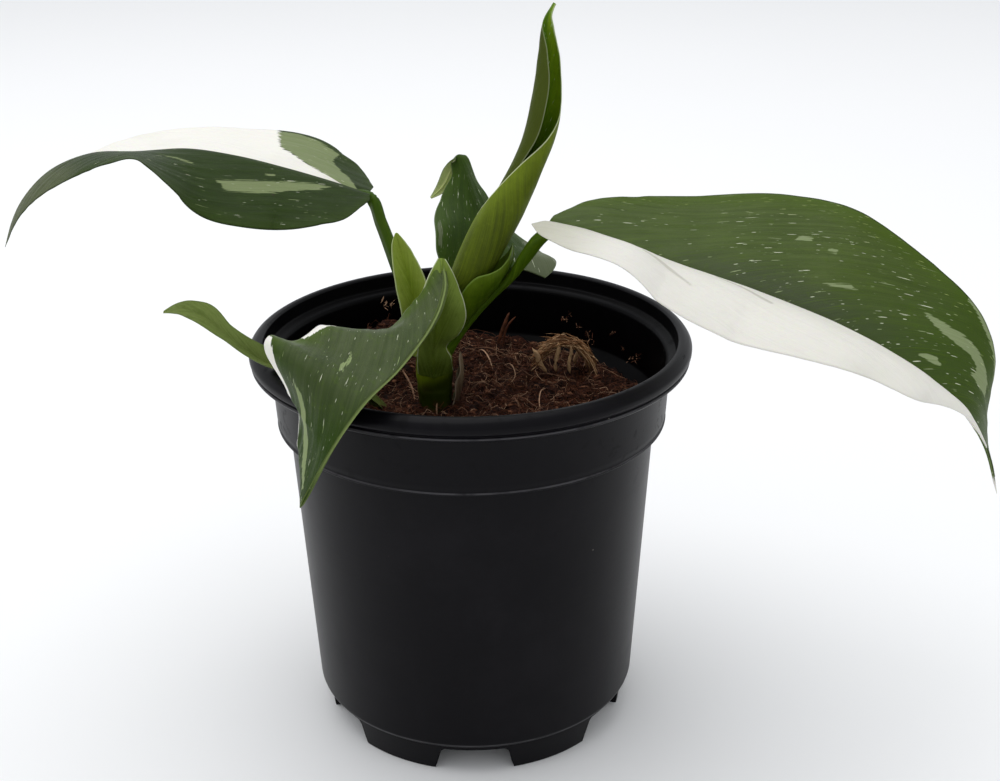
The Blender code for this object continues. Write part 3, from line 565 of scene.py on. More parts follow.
# The longer fibres and splinters that stand out: points from foot to end, thickness and tone.
STRAYS = [
    ([(-8.3, -9.9, 83.6), (-8.4, -9.9, 85.3), (-8.2, -9.9, 87.0)], 0.16, 1.0),
    ([(0.7, 29.0, 84.8), (2.6, 26.8, 86.2), (4.2, 21.8, 85.9), (5.3, 16.9, 84.4)], 0.17, 0.95),
    ([(18.6, 3.3, 84.8), (17.3, 0.7, 85.4), (16.7, -3.7, 84.7), (17.0, -7.4, 83.5)], 0.14, 0.9),
    ([(-19.1, 16.1, 86.4), (-16.9, 8.6, 86.6), (-15.0, 2.7, 85.6), (-14.0, -3.0, 84.2)], 0.30, 0.72),
    ([(6.4, 36.0, 83.4), (8.0, 37.0, 88.5), (9.8, 38.5, 92.6)], 0.55, 0.45),
    ([(8.0, 36.5, 83.0), (8.9, 38.0, 88.0), (11.6, 39.5, 91.0)], 0.35, 0.55),
    ([(-2.0, 30.0, 85.0), (4.0, 27.0, 86.8), (10.0, 24.0, 85.2), (13.0, 22.0, 84.2)], 0.13, 0.7),
    ([(8.0, 20.0, 84.4), (10.0, 17.0, 86.0), (11.0, 12.0, 85.0), (9.5, 9.0, 84.0)], 0.12, 0.85),
    ([(2.0, -12.0, 83.7), (3.2, -12.5, 85.3), (3.6, -13.2, 86.0)], 0.11, 0.95),
    ([(25.0, -6.0, 83.2), (26.2, -8.0, 84.8), (25.4, -10.5, 85.0), (24.6, -12.0, 83.6)], 0.10, 0.9),
]
# The places and sizes of the tufts that cling to the wall above the mix, on the right and at the back.
CLINGING = [(24.8, 37.1, 91.3, 0.9), (26.1, 36.2, 92.7, 0.5), (31.8, 31.3, 86.8, 1.0), (30.6, 32.5, 88.3, 0.5),
            (42.1, 14.7, 89.2, 0.9), (41.5, 16.4, 87.4, 0.8), (37.1, 24.7, 91.5, 0.7), (-24.2, 37.4, 95.8, 0.7),
            (-21.9, 38.8, 95.0, 0.5), (28.6, 34.2, 90.0, 0.6), (39.4, 20.9, 88.6, 0.5)]


def stray(shape, layer, number):
    """The listed fibres first, then tufts of short fibres held on the wall."""
    if number < len(STRAYS):
        route, thick, tone = STRAYS[number]
        line = smooth_line(np.linspace(0, 1, len(route)), route, np.linspace(0, 1, 12))
        strand(shape, layer, [Vector(point) for point in line], thick, tone, 5)
        return
    x, y, z, size = CLINGING[number - len(STRAYS)]
    inward = Vector((-x, -y, 0.0)).normalized()
    for _ in range(9):
        start = Vector((x, y, z)) + Vector([draw.gauss(0, 0.8 * size) for _ in range(3)]) * 0.8
        # One that would start short of the wall is drawn further in, so the tuft is ragged.
        start += inward * max(0.0, TUFT_REACH - start.xy.length)
        bend = Vector([draw.gauss(0, 0.9 * size) for _ in range(3)]) + inward * 0.3
        route = [start + bend * part + inward * 0.5 * part * (1 - part) for part in (0.0, 0.3, 0.6, 1.0)]
        thick = draw.uniform(0.05, 0.17) * size
        tone = 1.0 if z > 94.0 else draw.uniform(0.3, 0.85)
        strand(shape, layer, route, thick, tone, 5)


def closed(shape):
    """The bmesh with its seams and ends welded and its faces turned outward."""
    bmesh.ops.remove_doubles(shape, verts=shape.verts, dist=2e-6)
    bmesh.ops.recalc_face_normals(shape, faces=shape.faces)
    return shape


damp = coir_finish("coir_mass", (0.005, 0.0014, 0.0009), (0.034, 0.0095, 0.0045), (0.07, 0.022, 0.010))
mix = new_piece("mix_mass", mix_shape(), [damp])
fit(mix, "potting_mix")
crumb_paint = coir_finish("coir_crumb", (0.008, 0.0022, 0.0013), (0.078, 0.024, 0.012), (0.20, 0.085, 0.045))
crumbs = new_piece("mix_crumbs", gathered(CRUMBS, crumb), [crumb_paint], 40.0)
fibre_paint = coir_finish("coir_fibre", (0.034, 0.011, 0.005), (0.160, 0.054, 0.025), (0.62, 0.38, 0.24), 0.75)
fibre_mat = new_piece("mix_fibres", closed(gathered(FIBRES, fibre)), [fibre_paint])
strays = new_piece("mix_strays", closed(gathered(len(STRAYS) + len(CLINGING), stray)), [fibre_paint])
for loose in (crumbs, strays, fibre_mat):
    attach(loose, "root")


# The stem. A short fleshy green shank that stands in the mix, ringed where old leaves came away.
# Its top is hidden by the leaf bases that clasp it.
STEM_FOOT = 62.0
STEM_TOP = 99.0


def stem_shape():
    outline = [(0.0, STEM_FOOT), (STEM_RADIUS - 0.5, STEM_FOOT), (STEM_RADIUS - 0.1, STEM_FOOT + 4.0),
               (STEM_RADIUS - 0.1, MIX_LEVEL + 1.5), (STEM_RADIUS + 0.2, MIX_LEVEL + 3.6),
               (STEM_RADIUS + 0.25, MIX_LEVEL + 4.2), (STEM_RADIUS + 0.1, MIX_LEVEL + 4.9),
               (STEM_RADIUS + 0.5, MIX_LEVEL + 8.0), (STEM_RADIUS + 0.4, STEM_TOP - 5.0),
               (STEM_RADIUS + 0.3, STEM_TOP - 3.0), (STEM_RADIUS - 0.4, STEM_TOP - 1.2),
               (STEM_RADIUS - 2.0, STEM_TOP - 0.2), (0.0, STEM_TOP)]
    return turned(rounded(outline, 0.9), 56, (STEM_X, STEM_Y))


def stem_finish():
    paint = Finish("stem_green", roughness=0.45, specular=0.12, soft=0.1)
    place = paint.place()
    x, y, z = paint.parts(place)
    streaks = paint.noise(paint.vector(x * 900.0, y * 900.0, z * 70.0), 1.0, 3.0)
    blotch = paint.noise(place, 260.0, 3.0)
    # The lower stem is painted near-black green as painted shade under the leaves; the streaks show only on the lit
    # upper part.
    high = (z - x * 0.5).smooth(0.0935, 0.0985)
    paint.colour = paint.mix(high, (0.022, 0.034, 0.001), (0.15, 0.21, 0.006))
    paint.over(streaks.smooth(0.4, 0.7) * 0.4 * high, (0.22, 0.28, 0.02))
    paint.over(blotch.smooth(0.5, 0.75) * z.smooth(0.094, 0.085) * 0.7, (0.030, 0.014, 0.006))
    return paint.done(0.38 + 0.2 * blotch, streaks * 0.15 + blotch * 0.1, 0.7)


stem = new_piece("stem_shank", stem_shape(), [stem_finish()])
fit(stem, "stem")


# The old leaf on the left. A leathery satin blade, white on its far half and dark green on its near one,
# held out on a thin round petiole and bent down over its last third. Blade and petiole grew as one.
class Blade:
    """A leaf blade as a bent sheet on its midrib, in millimetres, built as in the CAD model.

    Each station is (x, y, z, left width, left angle, left curl, right width, right angle, right curl), from
    base to tip. Left and right are seen from above, looking from base to tip. An angle lifts a half from
    level at the midrib, and its curl is how far it turns further by the margin. face is the way the upper
    side looks, one for the leaf or one for each station. lobes are how far the two halves run back past
    the base, fading out over lobe_reach. ripple is how far the margins wave, in so many waves.
    """

    def __init__(self, stations, face, lobes=(0.0, 0.0), lobe_reach=0.1, ripple=0.0, waves=6.0):
        self.stations = np.asarray(stations, float)
        face = np.asarray(face, float)
        self.face = face if face.ndim == 2 else np.tile(face, (len(self.stations), 1))
        steps = np.linalg.norm(np.diff(self.stations[:, :3], axis=0), axis=1)
        self.knots = np.concatenate([[0.0], np.cumsum(steps)]) / steps.sum()
        self.length = steps.sum()
        self.lobes = lobes
        self.lobe_reach = lobe_reach
        self.ripple = ripple
        self.waves = waves

    def frame(self, along):
        """Midrib point, the way to the tip, the upper side's normal and the way to the left margin."""
        point = smooth_line(self.knots, self.stations[:, :3], along)
        before, after = (smooth_line(self.knots, self.stations[:, :3], np.clip(along + step, 0, 1))
                         for step in (-0.001, 0.001))
        onward = unit(after - before)
        face = smooth_line(self.knots, self.face, along)
        normal = unit(face - (face * onward).sum(1, keepdims=True) * onward)
        return point, onward, normal, np.cross(normal, onward)

    def section(self, along, across):
        """Width, angle and curl of the half that each point lies in."""
        shape = smooth_line(self.knots, self.stations[:, 3:], along)
        return np.where((across >= 0)[:, None], shape[:, :3], shape[:, 3:]).T

    def surface(self, along, across):
        """Points at along 0 to 1 from base to tip and across -1 to 1 from right margin to left."""
        point, onward, normal, leftward = self.frame(along)
        width, angle, curl = self.section(along, across)
        left = across >= 0
        angle, curl = np.radians(angle), np.radians(curl)
        curl = np.where(np.abs(curl) < 0.001, 0.001, curl)
        reach = np.abs(across)
        out = width * (np.sin(angle + curl * reach) - np.sin(angle)) / curl
        up = width * (np.cos(angle) - np.cos(angle + curl * reach)) / curl
        lobe = np.where(left, self.lobes[0], self.lobes[1])
        back = -lobe * np.exp(-along / self.lobe_reach) * reach**2
        phase = np.where(left, 0.7, 2.1)
        taper = np.sqrt(np.clip(4 * along * (1 - along), 0, 1))
        wave = np.sin(math.tau * self.waves * along + phase) * reach**3 * taper
        side = np.where(left, 1.0, -1.0)
        return (point + (side * out)[:, None] * leftward + (up + self.ripple * wave)[:, None] * normal
                + back[:, None] * onward)

    def normals(self, along, across):
        """The upper side's normals, by small steps on the surface."""
        step = 0.004
        behind, ahead = (self.surface(np.clip(along + way, 0, 1), across) for way in (-step, step))
        inner, outer = (self.surface(along, np.clip(across + way, -1, 1)) for way in (-2 * step, 2 * step))
        return unit(np.cross(ahead - behind, outer - inner))


def spread(part):
    """Even steps drawn together near the base and the tip."""
    return 0.4 * part + 0.6 * (1.0 - np.cos(math.pi * part)) / 2.0


def depth_in(points, outline):
    """How far points lie inside a closed outline, or outside it as a negative number."""
    outline = np.asarray(outline, float)
    after = np.roll(outline, -1, axis=0)
    best = np.full(len(points), 1e9)
    inside = np.zeros(len(points), bool)
    for start, end in zip(outline, after):
        along = end - start
        part = np.clip(((points - start) @ along) / (along @ along), 0, 1)
        best = np.minimum(best, np.linalg.norm(points - start - part[:, None] * along, axis=1))
        crosses = (start[1] > points[:, 1]) != (end[1] > points[:, 1])
        rise = end[1] - start[1] if end[1] != start[1] else 1e-9
        inside ^= crosses & (points[:, 0] < start[0] + (points[:, 1] - start[1]) * along[0] / rise)
    return np.where(inside, best, -best)


def write(mesh, name, values):
    """Keep three numbers for each point on the mesh, for its material."""
    layer = mesh.attributes.new(name, "FLOAT_VECTOR", "POINT")
    layer.data.foreach_set("vector", np.ascontiguousarray(values, dtype=np.float32).ravel())


def name_seed(name):
    """A number of the piece's own, so that no two blades have the same dents."""
    return sum(map(ord, name)) % 97


def blade_piece(name, blade, materials, rows, columns, rib=0.9, rib_end=0.35, thick=0.34, edge=0.16,
                marks=((), (), ()), sweep=0.9, bend=0.068, quilt=0.08):
    """The blade as a thin solid with its midrib raised below and sunk a little above.

    marks are lists of outlines in (along, across), one list for each colour: white, pale and deep. They are
    written on the points as the depth inside them in millimetres, with the run of the side veins. sweep and
    bend are how those veins lean forward and curve, and quilt is how far the skin swells and dips.
    """
    shape = bmesh.new()
    bmesh.ops.create_grid(shape, x_segments=rows, y_segments=columns, size=1.0)
    flat = np.array([point.co[:] for point in shape.verts])
    along = spread((flat[:, 0] + 1.0) / 2.0)
    across = np.sign(flat[:, 1]) * np.abs(flat[:, 1]) ** 1.2
    width = blade.section(along, across)[0]
    out = np.abs(across) * width
    foot = along * blade.length - sweep * out - bend * out**2
    run = out * np.hypot(1.0, sweep + bend * out)
    dents = np.array([noise.noise((a * 0.16, b * 0.10, 5.0 + name_seed(name))) for a, b in zip(foot, run)])
    normal = blade.normals(along, across)
    middle = blade.surface(along, across) + normal * (dents * quilt * 2.0 * np.clip(out / 3.0, 0, 1))[:, None]
    for point, place in zip(shape.verts, middle):
        point.co = place * MM
    piece = new_piece(name, shape, materials)
    write(piece.data, "leaf", np.stack([along, across, width - out], 1))
    write(piece.data, "vein", np.stack([foot, run, out], 1))
    flat_mm = np.stack([along * blade.length, across * width], 1)
    depths = []
    for outlines in marks:
        depth = np.full(len(along), -50.0)
        for outline in outlines:
            corners = np.asarray(outline, float)
            share = np.linspace(0.0, 1.0, 10, endpoint=False)[None, :, None]
            after = np.roll(corners, -1, axis=0)
            corners = (corners[:, None] * (1 - share) + after[:, None] * share).reshape(-1, 2)
            wide = blade.section(np.clip(corners[:, 0], 0, 1), corners[:, 1])[0]
            corners = np.stack([corners[:, 0] * blade.length, corners[:, 1] * wide], 1)
            depth = np.maximum(depth, depth_in(flat_mm, corners))
        depths.append(depth)
    write(piece.data, "marks", np.stack(depths, 1))
    solid = piece.modifiers.new("thickness", "SOLIDIFY")
    solid.thickness = 0.1 * MM
    solid.offset = 0.0
    solid.material_offset = 1
    settle(piece)
    fade = np.clip((1.0 - along) / 0.05, 0.25, 1.0)
    half = (edge + (thick - edge) * np.clip((width - out) / 2.5, 0, 1) ** 0.6) / 2 * fade
    size = (rib + (rib_end - rib) * along) * np.clip(width / 3.0, 0.2, 1.0)
    ridge = np.exp(-((out / (0.75 * size + 0.05)) ** 2))
    upper = middle + normal * (half - 0.30 * size * np.exp(-((out / (0.9 * size + 0.05)) ** 2)))[:, None]
    under = middle - normal * (half + 1.15 * size * ridge)[:, None]
    placed = np.concatenate([upper, under]) * MM
    piece.data.vertices.foreach_set("co", placed.astype(np.float32).ravel())
    piece.data.update()
    return piece


def stalk_piece(name, route, radii, material, rows=60, groove=0.0, face=(0, 0, 1)):
    """A petiole: a round or channelled stalk on a smooth route, closed at both ends."""
    route = np.asarray(route, float)
    steps = np.linalg.norm(np.diff(route, axis=0), axis=1)
    knots = np.concatenate([[0.0], np.cumsum(steps)]) / steps.sum()
    shape = bmesh.new()
    bmesh.ops.create_grid(shape, x_segments=rows, y_segments=24, size=1.0)
    grid = np.array([point.co[:] for point in shape.verts])
    part = (grid[:, 0] + 1.0) / 2.0
    around = (grid[:, 1] + 1.0) / 2.0 * math.tau
    inner = np.clip((part - 0.02) / 0.96, 0, 1)
    middle = smooth_line(knots, route, inner)
    onward = unit(smooth_line(knots, route, np.clip(inner + 0.01, 0, 1))
                  - smooth_line(knots, route, np.clip(inner - 0.01, 0, 1)))
    face = np.asarray(face, float)
    up = unit(face - (onward @ face)[:, None] * onward)
    aside = np.cross(up, onward)
    size = smooth_line(knots, np.asarray(radii, float)[:, None], inner)[:, 0]
    size = size * np.sqrt(np.clip(np.minimum(part, 1.0 - part) / 0.02, 0, 1))
    dent = 1.0 - groove * np.exp(-((np.abs(around - math.pi) / 0.6) ** 2))
    place = middle + (size * np.sin(around))[:, None] * aside - (size * dent * np.cos(around))[:, None] * up
    for point, spot in zip(shape.verts, place):
        point.co = spot * MM
    piece = new_piece(name, shape, [material])
    write(piece.data, "leaf", np.stack([part, around / math.tau, part * 0 + 5.0], 1))
    write(piece.data, "vein", np.stack([around * size, part * steps.sum(), part * 0], 1))
    write(piece.data, "marks", np.full((len(part), 3), -50.0))
    weld = piece.modifiers.new("weld", "WELD")
    weld.merge_threshold = 1e-6
    settle(piece)
    return piece


def grown(node, blade, *others):
    """The blade and what grew as one with it, as one object in its CAD node's place."""
    with bpy.context.temp_override(active_object=blade, selected_editable_objects=[blade, *others]):
        bpy.ops.object.join()
    fit(blade, node)


def leaf_finish(name, deep, green, bright, white=(0.84, 0.82, 0.76), pale=(0.21, 0.245, 0.135), midrib=None,
                rim=(0.02, 0.03, 0.01), rim_share=0.6, rim_width=0.3, flecks=0.0, fleck_size=1.0,
                fleck_white=0.5, fleck_edge=None, fleck_zone=None, cluster=1.0, lines=0.35, rough=0.42,
                specular=0.09, rag=1.0, relief=0.05, tip=None, tip_zone=(0.5, 0.9), painted_sheen=None,
                rim_left=1.0):
    """Leaf skin: clouded green, lighter towards the margin, with side veins, flecks and torn pale sectors.

    The marks attribute holds how far a point lies inside the white, pale and deep green areas. A deep area
    in the white is painted grey, as the painted shade of a fold.
    """
    paint = Finish(name, roughness=rough, specular=specular, soft=0.1)
    place = paint.place()
    along, across, edge = paint.attribute("leaf")
    foot, out, wide = paint.attribute("vein")
    white_depth, pale_depth, deep_depth = paint.attribute("marks")
    cloud = paint.noise(place, 60.0, 3.0)
    broad = paint.noise(paint.vector(foot * 0.35, out * 0.03), 1.0, 3.0, 0.6)
    fine = paint.noise(paint.vector(foot * 2.2, out * 0.05), 1.0, 3.0, 0.6)
    torn = (paint.noise(paint.vector(foot * 0.8, out * 0.12), 1.0, 3.0, 0.6) - 0.5) * rag * 2.0
    torn = torn * wide.smooth(0.2, 3.0)
    paint.colour = paint.mix(cloud.smooth(0.3, 0.7) * 0.5 + broad.smooth(0.35, 0.65) * 0.5, deep, green)
    # A painted grey sheen along the midrib, beyond the base of the blade.
    if painted_sheen:
        paint.over(wide.smooth(11.0, 2.0) * along.smooth(0.12, 0.4) * 0.8, painted_sheen)
    paint.over(edge.smooth(6.0, 0.5) * 0.6, bright)
    if tip:
        paint.over((along + (cloud - 0.5) * 0.25).smooth(*tip_zone) * 0.85, tip)
    mottle = paint.noise(place, 520.0, 4.0, 0.65)
    paint.over(mottle.smooth(0.52, 0.72) * 0.28, bright)
    paint.over(mottle.smooth(0.48, 0.30) * 0.30, deep)
    paint.over(fine.smooth(0.50, 0.75) * lines, bright)
    thread = (fine - 0.46).maths("ABSOLUTE").smooth(0.018, 0.004)
    paint.over(thread * lines, deep)
    paint.over((deep_depth + torn).smooth(-0.15, 0.25), deep)
    sector = paint.mix(fine.smooth(0.35, 0.7) * 0.3, pale, green)
    paint.over((pale_depth + torn).smooth(-0.08, 0.16), sector)
    if flecks:
        nib = paint.noise(paint.vector(foot * 3.0, out * 1.4), 1.0, 2.0) - 0.5
        crowd = paint.noise(paint.vector(foot * 0.07, out * 0.07), 1.0, 1.0).smooth(0.3, 0.7)
        crowd = crowd * cluster + (1 - cluster)
        if fleck_zone:
            crowd = crowd * (along.smooth(*fleck_zone) * 0.7 + 0.3)
        cream = (0.66, 0.69, 0.52)
        fleck = paint.mix(edge.smooth(9.0, 3.0), cream, fleck_edge) if fleck_edge else cream
        # Long streaks, dashes and dots: breadth, length, share of the cells and reach within one.
        for thin, long, share, reach in ((0.50, 3.2, 0.045, 0.38), (0.38, 1.8, 0.07, 0.40),
                                         (0.32, 0.9, 0.08, 0.42)):
            grid = paint.vector(foot / (thin * fleck_size * 1.6), out / (long * fleck_size * 1.6))
            far, pick, size, tint = paint.cells(grid, 1.0)
            spot = (far + nib * 0.35).smooth(reach * (0.45 + 0.55 * size), reach * (0.25 + 0.4 * size))
            spot = spot * (pick + crowd * (share * flecks)).smooth(1.0, 1.004)
            tinted = paint.mix(tint.smooth(0.9 - fleck_white, 1.1 - fleck_white), pale, fleck)
            paint.over(spot * (0.45 + 0.55 * size), tinted)
    white_area = (white_depth + torn).smooth(-0.08, 0.16)
    far, pick, size, _ = paint.cells(place, 330.0)
    speck = far.smooth(0.10 + 0.12 * size, 0.05) * pick.smooth(0.985, 0.99)
    # The white greys along fine lines and in clouds, and is painted darker towards the base as painted shade.
    greyed_and_base_shade = fine.smooth(0.45, 0.8) * 0.30 + cloud.smooth(0.5, 0.8) * 0.14 + along.smooth(0.16, 0.02) * 0.85
    snow = paint.mix(greyed_and_base_shade, white, (0.50, 0.49, 0.40))
    # Deep outlines in the white paint the grey shade of a fold.
    snow = paint.mix(deep_depth.smooth(-0.7, 0.1) * 0.5, snow, (0.36, 0.34, 0.27))
    paint.over(white_area, snow)
    if midrib:
        cord = wide.smooth(0.75, 0.35) * along.smooth(0.98, 0.8) * (1.0 - white_area)
        paint.over(cord * 0.75, midrib)
    margin = edge.smooth(rim_width + 0.12, rim_width - 0.12) * rim_share * (1.0 - white_area)
    if rim_left != 1.0:
        margin = margin * (1.0 - across.smooth(0.0, 0.1) * (1.0 - rim_left))
    paint.over(margin, rim)
    paint.over(speck * 0.7, (0.03, 0.022, 0.012))
    grain = paint.noise(place, 1700.0, 3.0)
    height = fine * relief + broad * 0.15 + grain * 0.012 + thread * -0.012 + mottle * 0.04
    return paint.done(rough - 0.05 + grain * 0.08 + fine * 0.06, height, 0.8)


left_blade = Blade([
    (-24.0, 9.0, 134.4, 4.5, -4, -10, 4.5, -3, 10),
    (-27.0, 9.0, 135.4, 12.5, -10, -10, 12.5, -1, 10),
    (-33.0, 9.0, 137.4, 18.8, -14, -10, 18.8, 1, 10),
    (-44.0, 9.0, 140.8, 24.5, -17, -10, 24.5, 2, 10),
    (-55.5, 7.0, 144.4, 26.2, -18, -10, 26.2, -4, 10),
    (-67.0, 6.0, 146.4, 25.3, -6, -10, 25.3, -7, 10),
    (-78.5, 4.0, 146.1, 22.3, 14, -10, 22.3, -9, 10),
    (-88.5, 1.0, 146.5, 18.3, 8, -10, 18.3, -19, 10),
    (-97.3, -2.0, 143.4, 13.5, 2, -10, 13.5, -19, 10),
    (-103.7, -4.0, 137.3, 8.3, 1, -10, 8.3, -16, 10),
    (-109.0, -5.6, 126.0, 0.5, 0, -10, 0.5, -15, 10),
], face=(0, 0, 1), lobes=(0.5, 0.5))
left_marks = (
    # The far half is white, but for a torn sector at its base.
    [[(0.065, 0.0), (0.128, -0.14), (0.183, -0.31), (0.228, -0.55), (0.238, -1.3), (1.02, -1.3), (1.02, 0.0)]],
    # A pale sector at the far base, a large one in the near half and two small ones beside it.
    [[(0.03, 0.02), (0.065, 0.0), (0.128, -0.14), (0.183, -0.31), (0.228, -0.55), (0.238, -0.96), (0.2, -0.97),
      (0.105, -0.88), (0.115, -0.63), (0.06, -0.35)],
     [(0.372, 0.47), (0.326, 0.39), (0.253, 0.32), (0.153, 0.19), (0.09, 0.16), (0.123, 0.29), (0.188, 0.41),
      (0.273, 0.53), (0.326, 0.56), (0.356, 0.58), (0.350, 0.53)],
     [(0.52, 0.30), (0.475, 0.285), (0.43, 0.31), (0.425, 0.345), (0.455, 0.335), (0.50, 0.32)],
     [(0.262, 0.215), (0.238, 0.20), (0.240, 0.225), (0.262, 0.235)]],
    [],
)
# The bent-down tip is painted a lighter olive: painted sheen on its upper side.
left_upper = leaf_finish("left_leaf_upper", (0.014, 0.028, 0.0022), (0.020, 0.040, 0.0034), (0.028, 0.052, 0.004),
                         pale=(0.20, 0.244, 0.11), flecks=0.5, cluster=0.8, rag=1.5, tip=(0.092, 0.106, 0.048),
                         tip_zone=(0.66, 0.84))
left_under = leaf_finish("left_leaf_under", (0.070, 0.100, 0.035), (0.100, 0.140, 0.050), (0.15, 0.20, 0.08),
                         rough=0.55, relief=0.10)
left_leaf = blade_piece("left_leaf", left_blade, [left_upper, left_under], 200, 84, rib=1.2, marks=left_marks,
                        sweep=2.4, bend=0.03)
left_stalk_paint = leaf_finish("left_petiole_green", (0.026, 0.064, 0.0004), (0.050, 0.100, 0.0008),
                               (0.10, 0.14, 0.004), specular=0.12)
left_stalk = stalk_piece("left_petiole", [(-10.5, 0, 96.5), (-13, 1.5, 104), (-17.5, 4.5, 116), (-21.5, 7.5, 127),
                                          (-24.3, 9, 133.4), (-27.5, 9, 134.6)], [1.6, 1.8, 1.7, 1.6, 1.4, 0.8],
                         left_stalk_paint, groove=0.25, face=(-0.6, 0, 0.8))
grown("leaf_left", left_leaf, left_stalk)


# The big leaf on the right. Its far half is green with white flecks and its near half white and hanging.
# The petiole opens into two wings below, which clasp the foot of the rolled leaf.
right_blade = Blade([
    (18.8, -7.0, 131.5, 3.5, 5, 5, 4.0, 23, -50),
    (21.5, -8.0, 131.2, 9.0, 8, 5, 9.5, 23, -50),
    (26.0, -9.5, 130.5, 13.8, 12, 5, 13.8, 23, -50),
    (35.0, -12.0, 127.6, 20.4, 15, 5, 20.4, 31, -50),
    (47.0, -14.5, 123.7, 25.5, 20, 5, 25.5, 23, -50),
    (65.5, -20.0, 118.6, 28.3, 35, 5, 28.3, 21, -50),
    (79.0, -26.5, 114.6, 27.4, 43, 5, 27.4, 25, -50),
    (92.6, -32.0, 108.8, 24.1, 42, 5, 24.1, 30, -50),
    (102.6, -36.5, 102.9, 19.9, 42, 5, 19.9, 34, -50),
    (109.2, -40.0, 97.7, 15.8, 22, 5, 8.0, 40, -50),
    (114.6, -42.0, 90.0, 10.4, 1, 5, 1.1, 27, -50),
    (118.6, -42.5, 77.8, 0.5, 9, 5, 0.5, 0, -50),
], face=(0, 0, 1), lobes=(0, 3), lobe_reach=0.08)
right_marks = (
    [[(-0.05, 0.0), (0.86, 0.0), (0.90, -0.3), (0.91, -1.4), (-0.05, -1.4)],
     [(0.955, -1.4), (1.02, -1.4), (1.02, 1.4), (0.965, 1.4)]],
    [[(0.675, 0.55), (0.70, 0.50), (0.745, 0.52), (0.777, 0.60), (0.80, 0.56), (0.79, 0.44), (0.82, 0.50),
      (0.845, 0.66), (0.83, 0.76), (0.777, 0.73), (0.724, 0.62)],
     [(0.705, 0.15), (0.735, 0.17), (0.748, 0.22), (0.734, 0.26), (0.715, 0.21)],
     [(0.425, 0.57), (0.45, 0.60), (0.452, 0.63), (0.43, 0.62)],
     [(0.483, 0.55), (0.503, 0.57), (0.50, 0.61), (0.485, 0.60)],
     [(0.502, 0.27), (0.53, 0.30), (0.566, 0.37), (0.55, 0.38), (0.51, 0.30)],
     [(0.72, 0.97), (0.77, 0.93), (0.84, 0.96), (0.84, 1.1), (0.72, 1.1)]],
    # Two folds in the white half, painted as soft grey shade.
    [[(0.185, -0.36), (0.215, -0.40), (0.245, -0.46), (0.29, -0.60), (0.24, -0.49), (0.21, -0.43), (0.183, -0.385)],
     [(0.33, -0.12), (0.37, -0.18), (0.41, -0.26), (0.45, -0.33), (0.45, -0.36), (0.41, -0.29), (0.37, -0.21),
      (0.33, -0.145)]],
)
right_upper = leaf_finish("right_leaf_upper", (0.052, 0.078, 0.018), (0.083, 0.118, 0.030), (0.066, 0.112, 0.006),
                          white=(0.76, 0.74, 0.68), pale=(0.24, 0.29, 0.145), flecks=1.7, fleck_white=0.45,
                          fleck_edge=(0.42, 0.50, 0.16), fleck_zone=(0.2, 0.42), cluster=0.7, rag=0.9, lines=0.65,
                          relief=0.08, tip=(0.040, 0.072, 0.008), tip_zone=(0.5, 0.8), painted_sheen=(0.052, 0.064, 0.036))
right_under = leaf_finish("right_leaf_under", (0.080, 0.120, 0.040), (0.120, 0.165, 0.060), (0.17, 0.22, 0.09),
                          rough=0.55, relief=0.10)
right_leaf = blade_piece("right_leaf", right_blade, [right_upper, right_under], 240, 110, rib=1.2,
                         marks=right_marks)
right_stalk_paint = leaf_finish("right_petiole_green", (0.034, 0.072, 0.001), (0.066, 0.130, 0.0025),
                                (0.13, 0.20, 0.010), rim=(0.16, 0.24, 0.05), rim_share=0.5, specular=0.12)
right_stalk = stalk_piece("right_petiole", [(-5.8, -1.3, 96.4), (-3.8, -1.1, 99.5), (0.9, -1, 106.0),
                                            (5.5, -1, 111.2), (9.8, -1.6, 115.9), (13.8, -3.5, 122.3),
                                            (16.8, -5.5, 126.9), (20.5, -7.5, 129.9)],
                          [1.3, 1.0, 0.9, 0.9, 1.1, 1.6, 1.6, 1.0], right_stalk_paint, face=(-0.8, 0, 0.6))
right_sheath = Blade([
    (-4.4, -1.2, 100.1, 1.2, 0, 20, 4.2, 0, 95),
    (0.5, -1.0, 106.6, 3.0, 0, 25, 7.3, 0, 108),
    (4.9, -0.8, 111.8, 5.4, 0, 42, 9.9, 0, 99),
    (7.8, -0.7, 115.6, 6.3, 0, 56, 8.9, 0, 80),
    (9.6, -0.8, 119.4, 4.2, 0, 40, 4.6, 0, 45),
    (10.4, -1.0, 124.3, 0.5, 0, 10, 0.5, 0, 10),
], face=(-0.81, 0, 0.59))
right_wrap = blade_piece("right_sheath", right_sheath, [right_stalk_paint] * 2, 60, 48, rib=0.4, thick=0.6,
                         edge=0.25)
grown("leaf_right", right_leaf, right_stalk, right_wrap)


